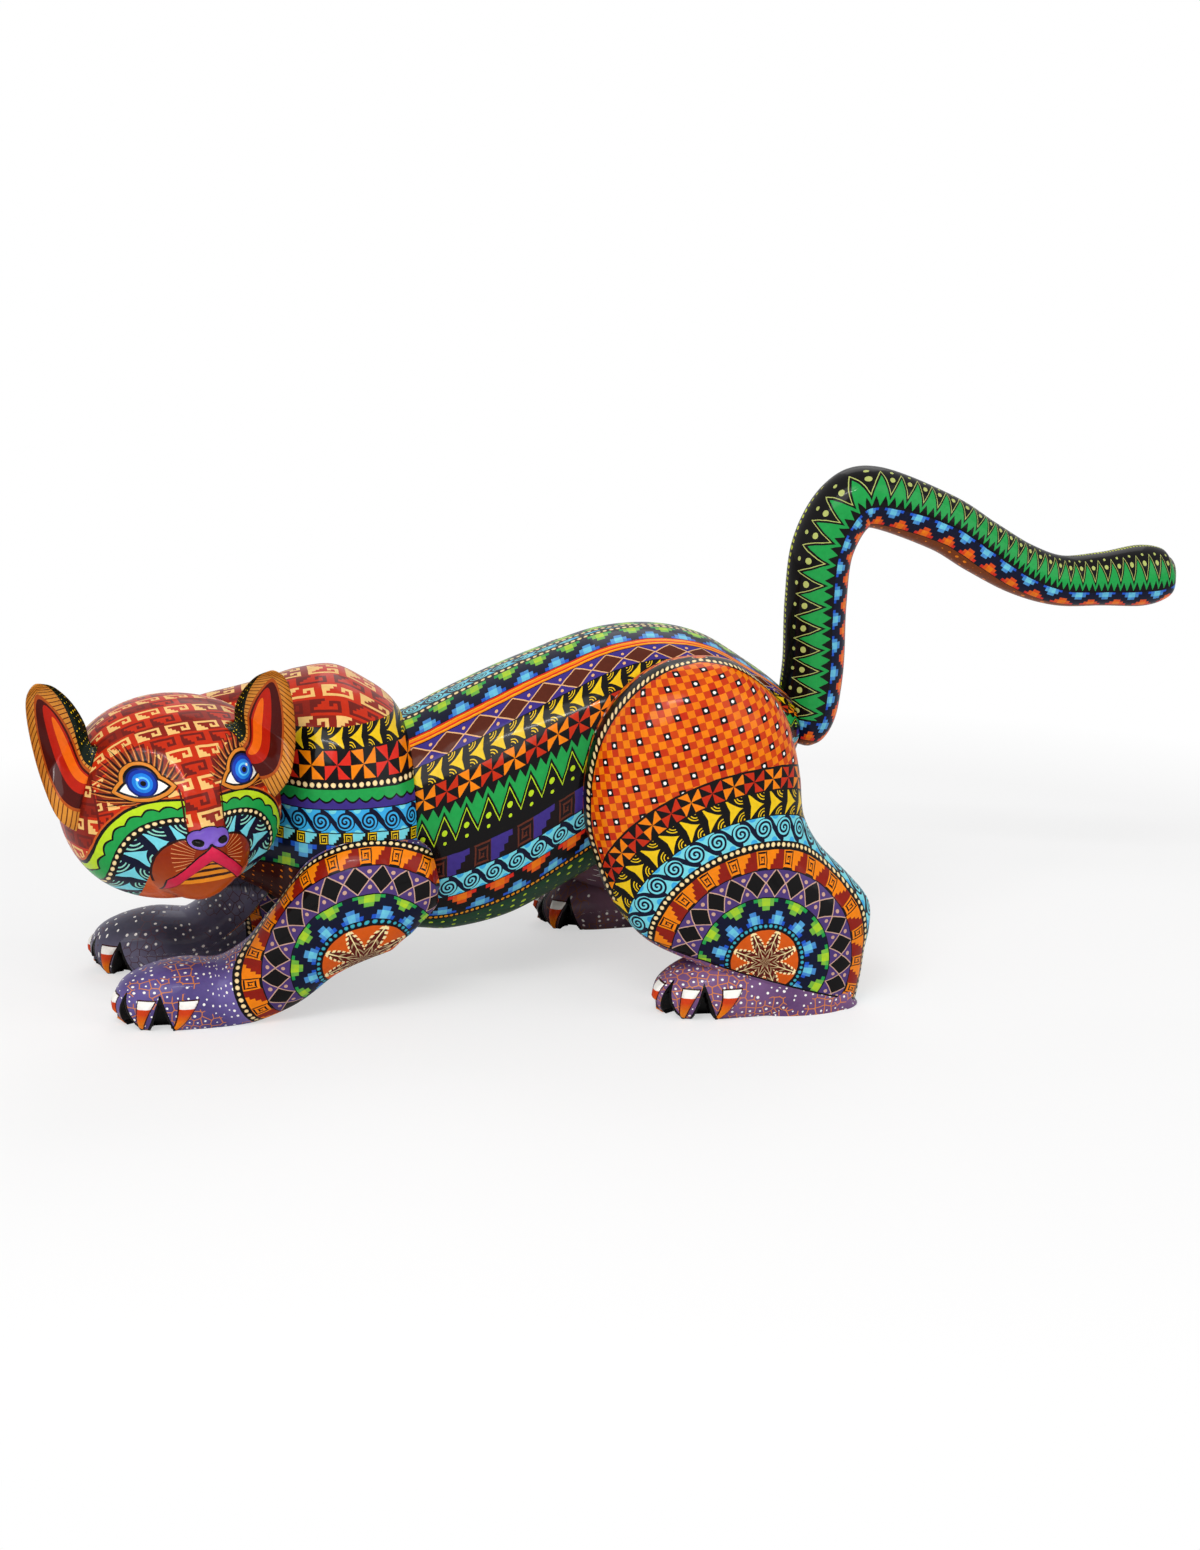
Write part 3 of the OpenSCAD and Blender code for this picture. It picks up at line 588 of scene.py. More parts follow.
# %% [markdown]
# ## Haunches and hind feet
# A haunch is a stack of level slices from the croup down to the heel; the foot is a
# second, lower loft that comes out of it. One loft through both would have to fold at the
# hock. The right haunch is bent further, so its upper slices sit lower. The border of the
# haunch is measured from the ridges in front and behind, and along its outline.

# %% Hind legs
KNEE, HAUNCH_MIDDLE, HAUNCH_SIDES = (64, 30), (35, 100), 300
HIND_STAGGER, RIGHT_DROP, HIND_TOE_ROOT = 36, 15, np.array([36.0, -70.0, 0.0])
FOOT = [
    [111, -70, 4, 5, 10.5], [107, -70, 4, 10, 16], [85, -70, 10.6, 16.2, 19.7], [50, -70, 11.2, 16.8, 21],
    [35, -70, 10.1, 15.7, 20], [21, -70, 7.3, 10.6, 14.7], [15, -70, 5.6, 3.9, 6.3]]


def haunch_rows(drop):
    """Level slices from the top down, the upper ones lowered by the drop."""
    return [
        [38, -57, 173 - drop, 4.3, 2.8], [37, -57, 170 - drop, 17.1, 14], [36, -57, 162 - drop, 29.4, 23.1],
        [36, -57, 150 - 0.95 * drop, 40.7, 29.4], [35, -57, 134 - 0.9 * drop, 48.2, 33.6],
        [35, -57, 114 - 0.7 * drop, 52.4, 35], [36, -58, 94 - 0.5 * drop, 53.5, 34.7],
        [42, -59, 78 - 0.3 * drop, 55.6, 33.6], [52, -62, 62 - 0.1 * drop, 60.5, 30.8],
        [60, -65, 50, 61.5, 28], [66, -67, 37, 55.6, 25.9], [74, -69, 27, 44.9, 23.8],
        [83, -70, 16, 34.2, 21], [85, -70, 4, 30, 19.6], [84, -70, -6, 27.8, 18.9]]


def along_outline(flat, rim):
    """Length along the line rim = 4: mean radius for each of 90 directions about the middle, summed up."""
    x, z = flat[..., 0] - HAUNCH_MIDDLE[0], flat[..., 2] - HAUNCH_MIDDLE[1]
    turn = np.arctan2(x, z)
    near = np.abs(rim - 4) < 1.5
    sector = ((turn / np.pi + 1) * 45).astype(int) % 90
    count = np.bincount(sector[near], minlength=90)
    radius = np.bincount(sector[near], np.hypot(x, z)[near], 90) / np.maximum(count, 1)
    ends = np.linspace(-np.pi, np.pi, 91)
    radius = np.interp(ends[:-1], ends[:-1][count > 0], radius[count > 0])
    points = radius[:, None] * np.stack([np.sin(ends[:-1]), np.cos(ends[:-1])], -1)
    steps = np.linalg.norm(np.diff(points, axis=0, append=points[:1]), axis=1)
    return np.interp(turn, ends, np.r_[0, np.cumsum(steps)])


def haunch_border(rings, flat, down):
    """Length in from the nearer ridge, (a^-3 + b^-3)^(-1/3), and along the outline, on the outer side."""
    half = HAUNCH_SIDES // 2
    from_front, from_back = (np.abs(lengths_around(rings, column)[0]) for column in (0, half))
    sinking = 0.25 * np.maximum(0, down - 12)
    near_front, near_back = np.maximum(from_front - 3, 0.1), np.maximum(from_back - 3 + sinking, 0.1)
    rim = (near_front ** -3.0 + near_back ** -3.0) ** (-1 / 3)
    edge = (from_front < 2) | (from_back < 2) & (down < 45)
    rim[:, :half] = np.where(edge, 0.1, 99)[:, :half]
    return np.stack([rim, along_outline(flat, rim), 0 * rim], -1)


def hind_leg(name, side):
    rings = path_rings(haunch_rows(0 if side < 0 else RIGHT_DROP), 300, HAUNCH_SIDES, FULLNESS, level=True)
    flat = unfolded(rings)
    steps = np.linalg.norm(np.diff(rings[:, outer_column(rings), 1:], axis=0), axis=-1)
    down = np.r_[0, np.cumsum(steps)]
    flat[..., 2] = KNEE[1] + np.interp(-KNEE[1], -rings[:, 0, 2], down) - down[:, None]
    border = haunch_border(rings, flat, down[:, None])
    press_inner(rings, 74)
    rings[..., 2] = np.maximum(rings[..., 2], 0)
    haunch = skin(name + "_haunch", on_side(rings, side, HIND_STAGGER), {"flat": flat, "border": border})
    stands_for(haunch, "figure", name + "_paint", name)
    rings = path_rings(FOOT, 170, 200, FULLNESS)
    ends = on_side(rings[[0, -1]].mean(axis=1), side, HIND_STAGGER)
    rings, fields = carve_paw(rings, HIND_TOE_ROOT)
    foot = skin(name + "_foot", on_side(rings, side, HIND_STAGGER), fields, ends)
    stands_for(foot, "figure", name + "_paint")
    return haunch, foot


left_haunch, left_foot = hind_leg("left_hind_leg", -1)
right_haunch, right_foot = hind_leg("right_hind_leg", 1)

# %% [markdown]
# ## Tail
# The tail is one round bough, bent over at the top and swelling again at the tip. A bevelled
# curve would do for the shape, but its root is shaped to the rump: points that would lie
# inside the rump are moved out along X to just clear of it. The paint gets lengths along
# the tail, which count for more past the bend, where the strokes stand closer, and lengths
# up from the underside, which is wider in the middle.

# %% Tail
TAIL_HALF_GIRTH = 48.5
TAIL = np.array([
    [102, 112, 2], [102.5, 113.5, 7], [103.5, 118, 11.6], [105.5, 128, 14.7], [107, 140, 15.5],
    [108.5, 156.2, 15.5], [109, 184.7, 15.5], [112, 212, 15.5], [123, 232, 15.5], [138, 236.5, 15.2],
    [172.5, 223, 14.4], [193.4, 210, 14], [214.3, 198, 13.3], [235.2, 191, 12.7], [258, 191, 13.6],
    [278, 192, 15.5], [290, 192.5, 13], [294.5, 193, 7.8], [296, 193, 2.2]])
x, z, radius = TAIL.T
rings = path_rings(np.stack([x, 0 * x, z, radius, radius], -1), 620, 120, 2)
around, girth = lengths_around(rings)
along, across = lengths_along(rings), np.abs(around) / girth * 2 * TAIL_HALF_GIRTH
under = 3.5 + 7 * np.exp(-(((along - 195) / 55) ** 2))
millimetres = np.arange(400)
closer = np.cumsum(1 + 0.65 * ramp((millimetres - 110) / 110))
bands = np.stack([np.interp(along, millimetres, closer), across - under, along - 6], -1)
reach = np.linspace(60, 101, 160)
profile = smooth_rows(TRUNK, np.linspace(0, len(TRUNK) - 1, 400))
z, w, h = (np.interp(reach, profile[:, 0], profile[:, n])[:, None, None] for n in (2, 3, 4))
covered = np.abs(rings[..., 1] / w) ** FULLNESS + np.abs((rings[..., 2] - z) / h) ** FULLNESS < 1
rump = np.where(covered, reach[:, None, None], 0).max(axis=0)
rings[..., 0] = np.maximum(rings[..., 0], rump + 0.5)
tail = skin("tail_carved", rings, {"bands": bands})
stands_for(tail, "tail", "tail_paint", "tail")

# %% [markdown]
# ## Painting with arithmetic on nodes
# The brushwork is geometry: dots, checks, stepped frets, scrolls, triangles. Pictures
# could be wrapped on, but a formula stays sharp at any distance, so each motif is drawn
# by Math nodes. Writing node after node by hand hides the formula, so a small class turns
# ordinary sums and comparisons into Math nodes.

# %% Fields and nodes
class Field:
    """A value over the surface, held by a socket; sums, products and tests of fields add Math nodes."""

    def __init__(self, tree, socket):
        self.tree, self.socket = tree, socket


def feed(tree, socket, value):
    """Links a field to a socket, or sets a plain value on it."""
    if isinstance(value, Field):
        tree.links.new(value.socket, socket)
    else:
        socket.default_value = value


def add(tree, kind, inputs=(), **settings):
    """A new node of a kind, with its settings, and its inputs fed by label or by number."""
    node = tree.nodes.new("ShaderNode" + kind)
    for name, value in settings.items():
        setattr(node, name, value)
    for label, value in dict(inputs).items():
        feed(tree, node.inputs[label], value)
    return node


def tree_of(*values):
    """The node tree of the first field among some values."""
    return next(value.tree for value in values if isinstance(value, Field))


def work(operation, *values):
    """A Math node on fields and numbers."""
    tree = tree_of(*values)
    return Field(tree, add(tree, "Math", enumerate(values), operation=operation).outputs[0])


# %% Signs for fields
def teach(sign, operation):
    """Gives fields a sign such as + or <; a plain number may stand to the left of the first four."""
    setattr(Field, f"__{sign}__", lambda self, other: work(operation, self, other))
    if sign in ("add", "sub", "mul", "truediv"):
        setattr(Field, f"__r{sign}__", lambda self, other: work(operation, other, self))


SIGNS = {"add": "ADD", "sub": "SUBTRACT", "mul": "MULTIPLY", "truediv": "DIVIDE", "mod": "FLOORED_MODULO",
         "pow": "POWER", "lt": "LESS_THAN", "gt": "GREATER_THAN"}
for sign, operation in SIGNS.items():
    teach(sign, operation)
Field.__abs__ = lambda self: work("ABSOLUTE", self)
print("fields know", ", ".join(SIGNS), "and abs")


# %% Whole numbers, distances and turns
def floor_of(field):
    return work("FLOOR", field)


def part_of(field):
    """What is left over the whole number: 0 to 1, again and again."""
    return work("FRACT", field)


def far(x, y):
    """Distance from the origin, the root of x x + y y."""
    return work("SQRT", x * x + y * y)


def turn_of(y, x):
    """Share of a full turn, from -0.5 to 0.5."""
    return work("ARCTAN2", y, x) / (2 * np.pi)


def least(a, b):
    return work("MINIMUM", a, b)


def most(a, b):
    return work("MAXIMUM", a, b)


# %% Chance, coats of paint and inks
def pair(tree, x, y):
    """Two numbers as a vector."""
    return Field(tree, add(tree, "CombineXYZ", {0: x, 1: y}).outputs[0])


def parts(tree, kind, field):
    """The three numbers of a vector (XYZ) or of a colour (Color)."""
    return [Field(tree, socket) for socket in add(tree, "Separate" + kind, {0: field}).outputs]


def chance(field, other=0.0):
    """One random number for each pair of whole numbers."""
    where = pair(field.tree, field, other)
    node = add(field.tree, "TexWhiteNoise", {"Vector": where}, noise_dimensions="2D")
    return Field(field.tree, node.outputs["Value"])


def over(below, mask, above):
    """The colour above where the mask is 1, and the colour below where it is 0."""
    tree = tree_of(mask, below, above)
    return Field(tree, add(tree, "Mix", {0: mask, 6: below, 7: above}, data_type="RGBA").outputs[2])


def coats(colour, *layers):
    """Coats over a ground, one after another: each is a mask and the colour that covers where it is 1."""
    for mask, above in layers:
        colour = over(colour, mask, above)
    return colour


def ink(code):
    """A paint colour from its screen code, as the linear values that a shader works with."""
    part = np.array([int(code[n:n + 2], 16) for n in (0, 2, 4)]) / 255
    return (*np.where(part <= 0.04045, part / 12.92, ((part + 0.055) / 1.055) ** 2.4).tolist(), 1.0)


BLACK, WHITE, CREAM = ink("0c0a0b"), ink("fbf9f2"), ink("f6e3a8")
ORANGE, RED, SCARLET = ink("f0820a"), ink("c22c0e"), ink("d92a1c")
MAROON, BROWN, BARE_WOOD = ink("6d1a12"), ink("572313"), ink("c99a63")
YELLOW, LIME, GREEN, DEEP_GREEN = ink("edc417"), ink("b9d822"), ink("1f9a48"), ink("0d3a20")
CYAN, SKY, BLUE, NAVY = ink("74d3e0"), ink("39a7e0"), ink("1d52c4"), ink("0a0f2a")
PURPLE, TAN, STRAW = ink("3c2d80"), ink("e8b27c"), ink("edbe72")

# %% [markdown]
# ## Brush motifs
# These are the patterns that folk painters use everywhere: rows of dots, triangles,
# running scrolls, pinwheels, stepped pyramids, diamonds, zigzags, stepped frets,
# scallops and checks. Drawn anew in each material they would fill it with nodes, so each
# is a node group that takes the place along and across its band in millimetres, with the
# band's width, the pitch of the motif and its paints.

# %% Making a motif
def new_group(title, inputs, outputs):
    """An empty node group with sockets given as label: kind; returns it, its input fields and its outlets."""
    group = bpy.data.node_groups.new(title, "ShaderNodeTree")
    for way, sockets in (("INPUT", inputs), ("OUTPUT", outputs)):
        for label, kind in sockets.items():
            group.interface.new_socket(label, in_out=way, socket_type="NodeSocket" + kind)
    entry, leave = group.nodes.new("NodeGroupInput"), group.nodes.new("NodeGroupOutput")
    return group, [Field(group, entry.outputs[label]) for label in inputs], leave.inputs


def motif(title, *paints):
    """Decorator: builds a node group around a drawing rule that returns a colour."""

    def build(rule):
        inputs = dict.fromkeys(("Along", "Across", "Width", "Pitch"), "Float")
        inputs.update(dict.fromkeys(paints, "Color"))
        group, fields, outlets = new_group(title, inputs, {"Colour": "Color"})
        feed(group, outlets["Colour"], rule(*fields))
        print(f"motif {title}: {len(group.nodes)} nodes")
        return group

    return build


# %% Specks, dots and stripes
@motif("plain", "Ground", "Speck")
def plain(s, t, width, pitch, ground, speck):
    """One paint with sparse specks: a dot of chance size in every cell."""
    size = chance(floor_of(s / pitch), floor_of(t / pitch))
    d = far(part_of(s / pitch) - 0.5, part_of(t / pitch) - 0.5)
    return over(ground, d < 0.22 * size, speck)


@motif("dots", "Ground", "Dot", "Shade")
def dots(s, t, width, pitch, ground, dot, shade):
    """A row of dots: distance to the cell's middle less than a radius that changes a little."""
    loose = chance(floor_of(s / pitch))
    d = far((part_of(s / pitch) - 0.5) * pitch, t - width / 2)
    radius = least(pitch, width) * (0.3 + 0.06 * loose)
    return over(ground, d < radius, over(shade, 1.4 - d / radius, dot))


@motif("stripes", "Ground", "Stripe", "Line")
def stripes(s, t, width, pitch, ground, stripe, line):
    """Lengthwise stripes of one pitch, edged by a thin line."""
    f = part_of(t / pitch)
    return coats(ground, (f < 0.45, stripe), (abs(f - 0.45) < 0.07, line))


# %% Sails, scrolls and pinwheels
@motif("triangles", "Ground", "Fill", "Line")
def triangles(s, t, width, pitch, ground, fill, line):
    """Sails with hollow sides: half height 0.49 (f / 0.7)^1.5, cut off by a notch; arcs in the corners."""
    f, y = part_of(s / pitch), abs(t / width - 0.5)
    sail = (y < 0.49 * (f / 0.7) ** 1.5) * (f < 0.74 - 0.2 * (0.5 - y))
    corner = far(f * pitch, (0.5 - y) * width) / width
    arcs = most(abs(corner - 0.2) < 0.022, abs(corner - 0.31) < 0.022)
    return coats(ground, (most(arcs, corner < 0.07), line), (sail, fill))


@motif("scroll", "Ground", "Line", "Light")
def scroll(s, t, width, pitch, ground, line, light):
    """Running scroll: a coil where r / step - turn starts again, joined by cosine waves to the next."""
    x, y = (part_of(s / pitch) - 0.5) * pitch, t - width / 2
    r = far(x, y) / width
    coil = (part_of(r / 0.17 - turn_of(y, x)) < 0.52) * (r < 0.41)
    g = part_of(s / pitch + 0.5)
    slope = 1 + 2.0 * work("SINE", g * np.pi)
    wave = abs(t / width - 0.5 + 0.43 * work("COSINE", g * np.pi)) < 0.06 * slope
    corner = far(abs(x) - pitch / 2, (0.5 - abs(y) / width) * width) < 0.16 * width
    return coats(ground, (corner, light), (most(coil, wave * (r > 0.37)), line))


@motif("pinwheels", "Ground", "First", "Second")
def pinwheels(s, t, width, pitch, ground, first, second):
    """Eight sectors round each square's middle, every other one painted; squares take turns in paint."""
    x, y = part_of(s / pitch) - 0.5, t / width - 0.5
    sector = floor_of(turn_of(y, x) * 8 + 8) % 2
    return over(ground, sector * (abs(y) < 0.47), over(first, floor_of(s / pitch) % 2, second))


# %% Pyramids, diamonds and zigzags
@motif("pyramids", "Ground", "Upper light", "Upper dark", "Lower light", "Lower dark")
def pyramids(s, t, width, pitch, ground, upper_light, upper_dark, lower_light, lower_dark):
    """Stepped pyramids from both edges, eight squares' pitch: |column| + row under 2.5, light inside."""
    column, row = floor_of(s / pitch * 8), floor_of(t / width * 6)
    tint = 0.2 * chance(column, row) - 0.1
    across_up, across_down = (floor_of(abs((column + shift) % 8 - 4)) for shift in (0.5, 4.5))
    upper = over(upper_light, (across_up + abs(row - 0.6)) / 2.1 + tint, upper_dark)
    lower = over(lower_light, (across_down + abs(4.4 - row)) / 2.1 + tint, lower_dark)
    return coats(ground, (across_up + row < 2.5, upper), (across_down + 5 - row < 2.5, lower))


@motif("diamonds", "Ground", "Fill", "Line")
def diamonds(s, t, width, pitch, ground, fill, line):
    """Diamonds |x| + |y| under 0.46, edged by a line up to 0.52, with a dot above and below each gap."""
    x, y = abs(part_of(s / pitch) - 0.5), abs(t / width - 0.5)
    d = x + y
    dot = far((0.5 - x) * pitch, (y - 0.27) * width) < 0.07 * width
    return coats(ground, (most(d < 0.52, dot), line), (d < 0.46, fill))


@motif("zigzags", "Ground", "Fill", "Line")
def zigzags(s, t, width, pitch, ground, fill, line):
    """Teeth as high as 0.12 + |x| of the width, notched below; an echo 0.11 above, dots in the valleys."""
    x, y = part_of(s / pitch) - 0.5, t / width
    tooth = y - 0.12 - abs(x)
    small = far(x * pitch, (y - 0.74) * width) < 0.035 * width
    large = far(x * pitch, (y - 0.54) * width) < 0.055 * width
    drawn = most(abs(tooth - 0.11) < 0.02, most(small, large))
    notch = y < 0.2 - 0.38 * abs(part_of(s / pitch * 2) - 0.5)
    return coats(ground, (drawn, line), ((tooth < 0) * (1 - notch), fill))


# %% Steps, scallops and frets
@motif("steps", "Ground", "Fill", "Line")
def steps(s, t, width, pitch, ground, fill, line):
    """Stair of four steps, then a block with a square coil: max(|x|, |y|) / step - quarter turns."""
    cell = part_of(s / pitch) * 10
    column, row = floor_of(cell), floor_of(t / width * 4)
    stair = (column + row > 2.5) * (column < 4)
    block = (column > 3.5) * (column < 7.5)
    x, y = cell - 6, t / width * 4 - 2
    r = most(abs(x), abs(y))
    quarter = floor_of(turn_of(y, x) * 4 + 4.5) / 4
    coil = (part_of(r / 0.95 - quarter) < 0.4) * block
    return coats(ground, (most(stair, block), fill), (coil, line))


@motif("scallops", "Upper", "Lower", "Line")
def scallops(s, t, width, pitch, upper, lower, line):
    """Two paints parted by arches: the edge lies at 0.42 + 0.2 |cos|."""
    edge = t / width - 0.42 - 0.2 * abs(work("COSINE", s / pitch * np.pi))
    return coats(upper, (edge > 0, lower), (abs(edge) < 0.055, line))


@motif("frets", "First", "Second", "Third")
def frets(s, t, width, pitch, first, second, third):
    """Step frets on squares, ten to a unit, six to a row: a stair of four steps and a hook coiling back."""
    row = floor_of(t / width)
    place = s / pitch + row * 0.36
    tint = chance(floor_of(place), row)
    column, level = floor_of(part_of(place) * 10), floor_of(part_of(t / width) * 6)
    stair = column + level < 3.5
    shaft = (abs(column - 7) < 0.5) * (level > 0.5) * (level < 4.5)
    hook = most((abs(level - 4) < 0.5) * (column < 7.5), shaft)
    point = (abs(column - 5) < 0.5) * (abs(level - 1.5) < 1)
    curl = most((abs(level - 1) < 0.5) * (abs(column - 6) < 1.5), point)
    ground = over(first, tint > 0.55, over(first, 0.75, third))
    return over(ground, most(stair, most(hook, curl)), over(second, row % 2, third))


# %% Checks and rosette
@motif("checks", "First", "Second", "Spot", "Dot")
def checks(s, t, width, pitch, first, second, spot, dot):
    """Squares in two paints; on every fourth diagonal, in even rows, a dark square with a dot in it."""
    column, row = floor_of(s / pitch), floor_of(t / pitch)
    tint = chance(column, row)
    x, y = abs(part_of(s / pitch) - 0.5), abs(part_of(t / pitch) - 0.5)
    marked = ((column + row) % 4 < 0.5) * ((row % 2) < 0.5)
    colour = over(first, 0.22 * tint, second)
    return coats(colour, ((column + row) % 2, over(second, 0.18 * tint, first)),
                 (marked * (most(x, y) < 0.5), spot), (marked * (far(x, y) < 0.23), dot))


@motif("rosette", "Ground", "Petal", "Line")
def rosette(s, t, width, pitch, ground, petal, line):
    """Pointed petals: t from the middle, their edge is at width (1 - 0.62 g), g beside a petal's axis."""
    g = 2 * abs(part_of(s / pitch) - 0.5)
    edge = t / width - 1 + 0.62 * g
    beads = (abs(edge) < 0.07) * (part_of(t / width * 9) < 0.6)
    coil = (part_of(t / width * 5 + g) < 0.3) * (edge < -0.16)
    return coats(ground, (edge < 0, petal), (coil, over(petal, 0.35, line)), (beads, line),
                 ((g < 0.05) * (edge < 0), line))


# %% [markdown]
# ## Varnish and hand
# A brush never follows a line exactly, so the coordinates wander by a fraction of a
# millimetre. Paint also varies in depth with each stroke, and the varnish over it is
# glossy but uneven. Both effects are shared by every painted piece, so they are groups
# that each material places with its own values.

# %% Shared finishes
def object_place(tree):
    """Object coordinates, in metres."""
    return Field(tree, add(tree, "TexCoord").outputs["Object"])


def noise(tree, scale, detail=2.0, vector=None):
    """A noise texture, on Object coordinates unless another vector is given."""
    vector = object_place(tree) if vector is None else vector
    return add(tree, "TexNoise", {"Scale": scale, "Detail": detail, "Vector": vector})


def wander_group():
    """Along and Across, each moved by up to a share of a millimetre of smooth noise."""
    inputs = dict.fromkeys(("Along", "Across", "Amount"), "Float")
    outputs = dict.fromkeys(("Along", "Across"), "Float")
    group, (along, across, amount), outlets = new_group("wandering hand", inputs, outputs)
    one, two, _ = parts(group, "Color", Field(group, noise(group, 140).outputs["Color"]))
    feed(group, outlets["Along"], along + (one - 0.5) * amount)
    feed(group, outlets["Across"], across + (two - 0.5) * amount)
    return group


def brushed_group():
    """Colour in streaks a little lighter and darker; roughness and paint height from the same strokes."""
    outputs = {"Colour": "Color", "Roughness": "Float", "Height": "Float"}
    group, (colour,), outlets = new_group("brushed paint", {"Colour": "Color"}, outputs)
    fine, broad = (Field(group, noise(group, *grain).outputs[0]) for grain in ((420, 3), (34, 2)))
    tone = add(group, "HueSaturation", {"Color": colour, "Value": 0.78 + 0.3 * fine + 0.16 * broad})
    feed(group, outlets["Colour"], Field(group, tone.outputs[0]))
    feed(group, outlets["Roughness"], 0.2 + 0.22 * broad)
    feed(group, outlets["Height"], 0.08 * fine + 0.35 * broad)
    return group


WANDER, BRUSHED = wander_group(), brushed_group()
print("shared finishes:", WANDER.name, "and", BRUSHED.name)


# %% Starting and ending a paint
def new_paint(name):
    """An empty material and its node tree."""
    material = bpy.data.materials.new(name)
    material.use_nodes = True
    material.node_tree.nodes.clear()
    return material, material.node_tree


def attribute(tree, name):
    """The three numbers that a piece keeps at each point under a name."""
    return parts(tree, "XYZ", Field(tree, add(tree, "Attribute", attribute_name=name).outputs["Vector"]))


def place(tree, group, *values):
    """Puts a group into a material, feeds its sockets in order and returns what it puts out."""
    node = add(tree, "Group", enumerate(values), node_tree=group)
    return [Field(tree, socket) for socket in node.outputs]


def wander(tree, along, across, amount=0.9):
    """Along and across, as a hand would follow them."""
    return place(tree, WANDER, along, across, amount)


def shade(tree, bump, inputs):
    """Ends a material: a Bump node on the shader's normal, and its other inputs fed by label."""
    normal = Field(tree, add(tree, "Bump", bump).outputs[0])
    shader = add(tree, "BsdfPrincipled", {**inputs, "Normal": normal})
    add(tree, "OutputMaterial", {"Surface": Field(tree, shader.outputs[0])})


def varnish(material, colour, *pieces):
    """Ends a paint: streaked colour, uneven gloss, a low relief of strokes, and a clear coat on top."""
    tree = material.node_tree
    streaked, roughness, height = place(tree, BRUSHED, colour)
    shade(tree, {"Height": height, "Distance": 0.001, "Strength": 0.6}, {
        "Base Color": streaked, "Roughness": roughness, "Specular IOR Level": 0.02,
        "Coat Weight": 0.2, "Coat Roughness": 0.09})
    for piece in pieces:
        piece.data.materials.append(material)
    print(f"paint {material.name}: {len(tree.nodes)} nodes on {', '.join(p.name for p in pieces)}")


# %% Laying bands
# Half the width of the black line between two bands, in millimetres
LINE = 0.55
# A band is a motif, its width, its pitch and its paints
BEADS = (dots, 4.2, 3.5, BLACK, CREAM, TAN)


def draw(tree, group, *values):
    """The colour of a motif, from the places along and across, the width, the pitch and the paints."""
    return place(tree, group, *values)[0]


def lay_bands(tree, along, across, bands, colour, edge=0.0, rings=False):
    """Motif bands side by side, each where edge < across < edge + width, parted by thin black lines.

    In rings about a middle, along is the share of a turn, across the radius, and the pitch a count round
    the girth, 2 pi (edge + 0.55 width).
    """
    for group, width, pitch, *paints in bands:
        inside = (across > edge) * (across < edge + width)
        girth = 2 * np.pi * (edge + 0.55 * width)
        where, pitch = (along * girth, girth / pitch) if rings else (along, pitch)
        drawn = draw(tree, group, where, across - edge, width, pitch, *paints)
        edge += width
        colour = coats(colour, (inside, drawn), (abs(across - edge) < LINE, BLACK))
    return colour


# %% [markdown]
# ## Trunk paint
# Bands run along the back and flanks: scrolls on the spine, a line of beads, then stepped
# pyramids, stripes, diamonds, sails, pinwheels, zigzags, a stepped fret, scrolls and
# pyramids again, down to a plain belly. Painted by hand they would be masked strips; here
# each band is a row in a list. The motifs are common ones, and their order is chosen here.

# %% Trunk paint
material, tree = new_paint("trunk_paint")
along, across, bare = attribute(tree, "bands")
along, across = wander(tree, along, across)
belly = draw(tree, plain, along, across, 10, 6, DEEP_GREEN, LIME)
colour = lay_bands(tree, along, across, [
    (scroll, 12, 11.5, CYAN, NAVY, SKY),
    BEADS,
    (pyramids, 16, 17, NAVY, LIME, GREEN, CYAN, BLUE),
    (stripes, 6, 3, ORANGE, SCARLET, YELLOW),
    (diamonds, 12, 17, PURPLE, BROWN, TAN),
    (triangles, 11, 10.5, BLACK, YELLOW, YELLOW),
    (pinwheels, 11.5, 11.5, BLACK, ORANGE, RED),
    (zigzags, 25, 11, BLACK, GREEN, LIME),
    (steps, 11.5, 22, PURPLE, ink("170c10"), ink("5c2a1c")),
    (scroll, 11.5, 11.5, CYAN, NAVY, SKY),
    (pyramids, 13, 19, BLACK, ORANGE, SCARLET, CYAN, BLUE),
    (dots, 3, 2.6, BLACK, ORANGE, YELLOW)], belly, -12)
varnish(material, over(colour, bare > 0.5, BARE_WOOD), trunk)

# %% [markdown]
# ## Chest and neck paint
# Stepped frets in red, maroon and cream cover the top of the neck, and bands lie along
# the shoulder below them. The bands keep level, so they are laid by height and not by
# girth.

# %% Chest paint
BAND_TOP = 143
material, tree = new_paint("chest_block_paint")
along, across, level = attribute(tree, "bands")
along, across = wander(tree, along, across)
_, drop = wander(tree, along, BAND_TOP - level)
top = draw(tree, frets, along, across, 10.2, 19, RED, STRAW, MAROON)
lower = draw(tree, plain, along, across, 10, 5, ink("3a140c"), ORANGE)
colour = lay_bands(tree, along, drop, [
    (triangles, 9.5, 10, BLACK, YELLOW, YELLOW),
    (pinwheels, 13.5, 13, BLACK, ORANGE, SCARLET),
    BEADS,
    (scallops, 9.5, 6.5, GREEN, PURPLE, BLACK),
    (scroll, 11.5, 12, SKY, NAVY, CYAN),
    (steps, 6, 12, CYAN, BLACK, YELLOW),
    (pyramids, 14, 19, NAVY, CYAN, BLUE, LIME, GREEN)], over(top, drop > 0, lower))
varnish(material, colour, chest)

# %% [markdown]
# ## Leg paint
# Rings about the knee and the elbow, like ripples, with a rosette in the middle; above
# them the haunch is a check of orange and red. A line of beads follows the edge where
# the haunch leaves the trunk. Lengths around and along the leg give the flat coordinates,
# and their polar form about the joint gives the rings, so no ring is drawn by itself.

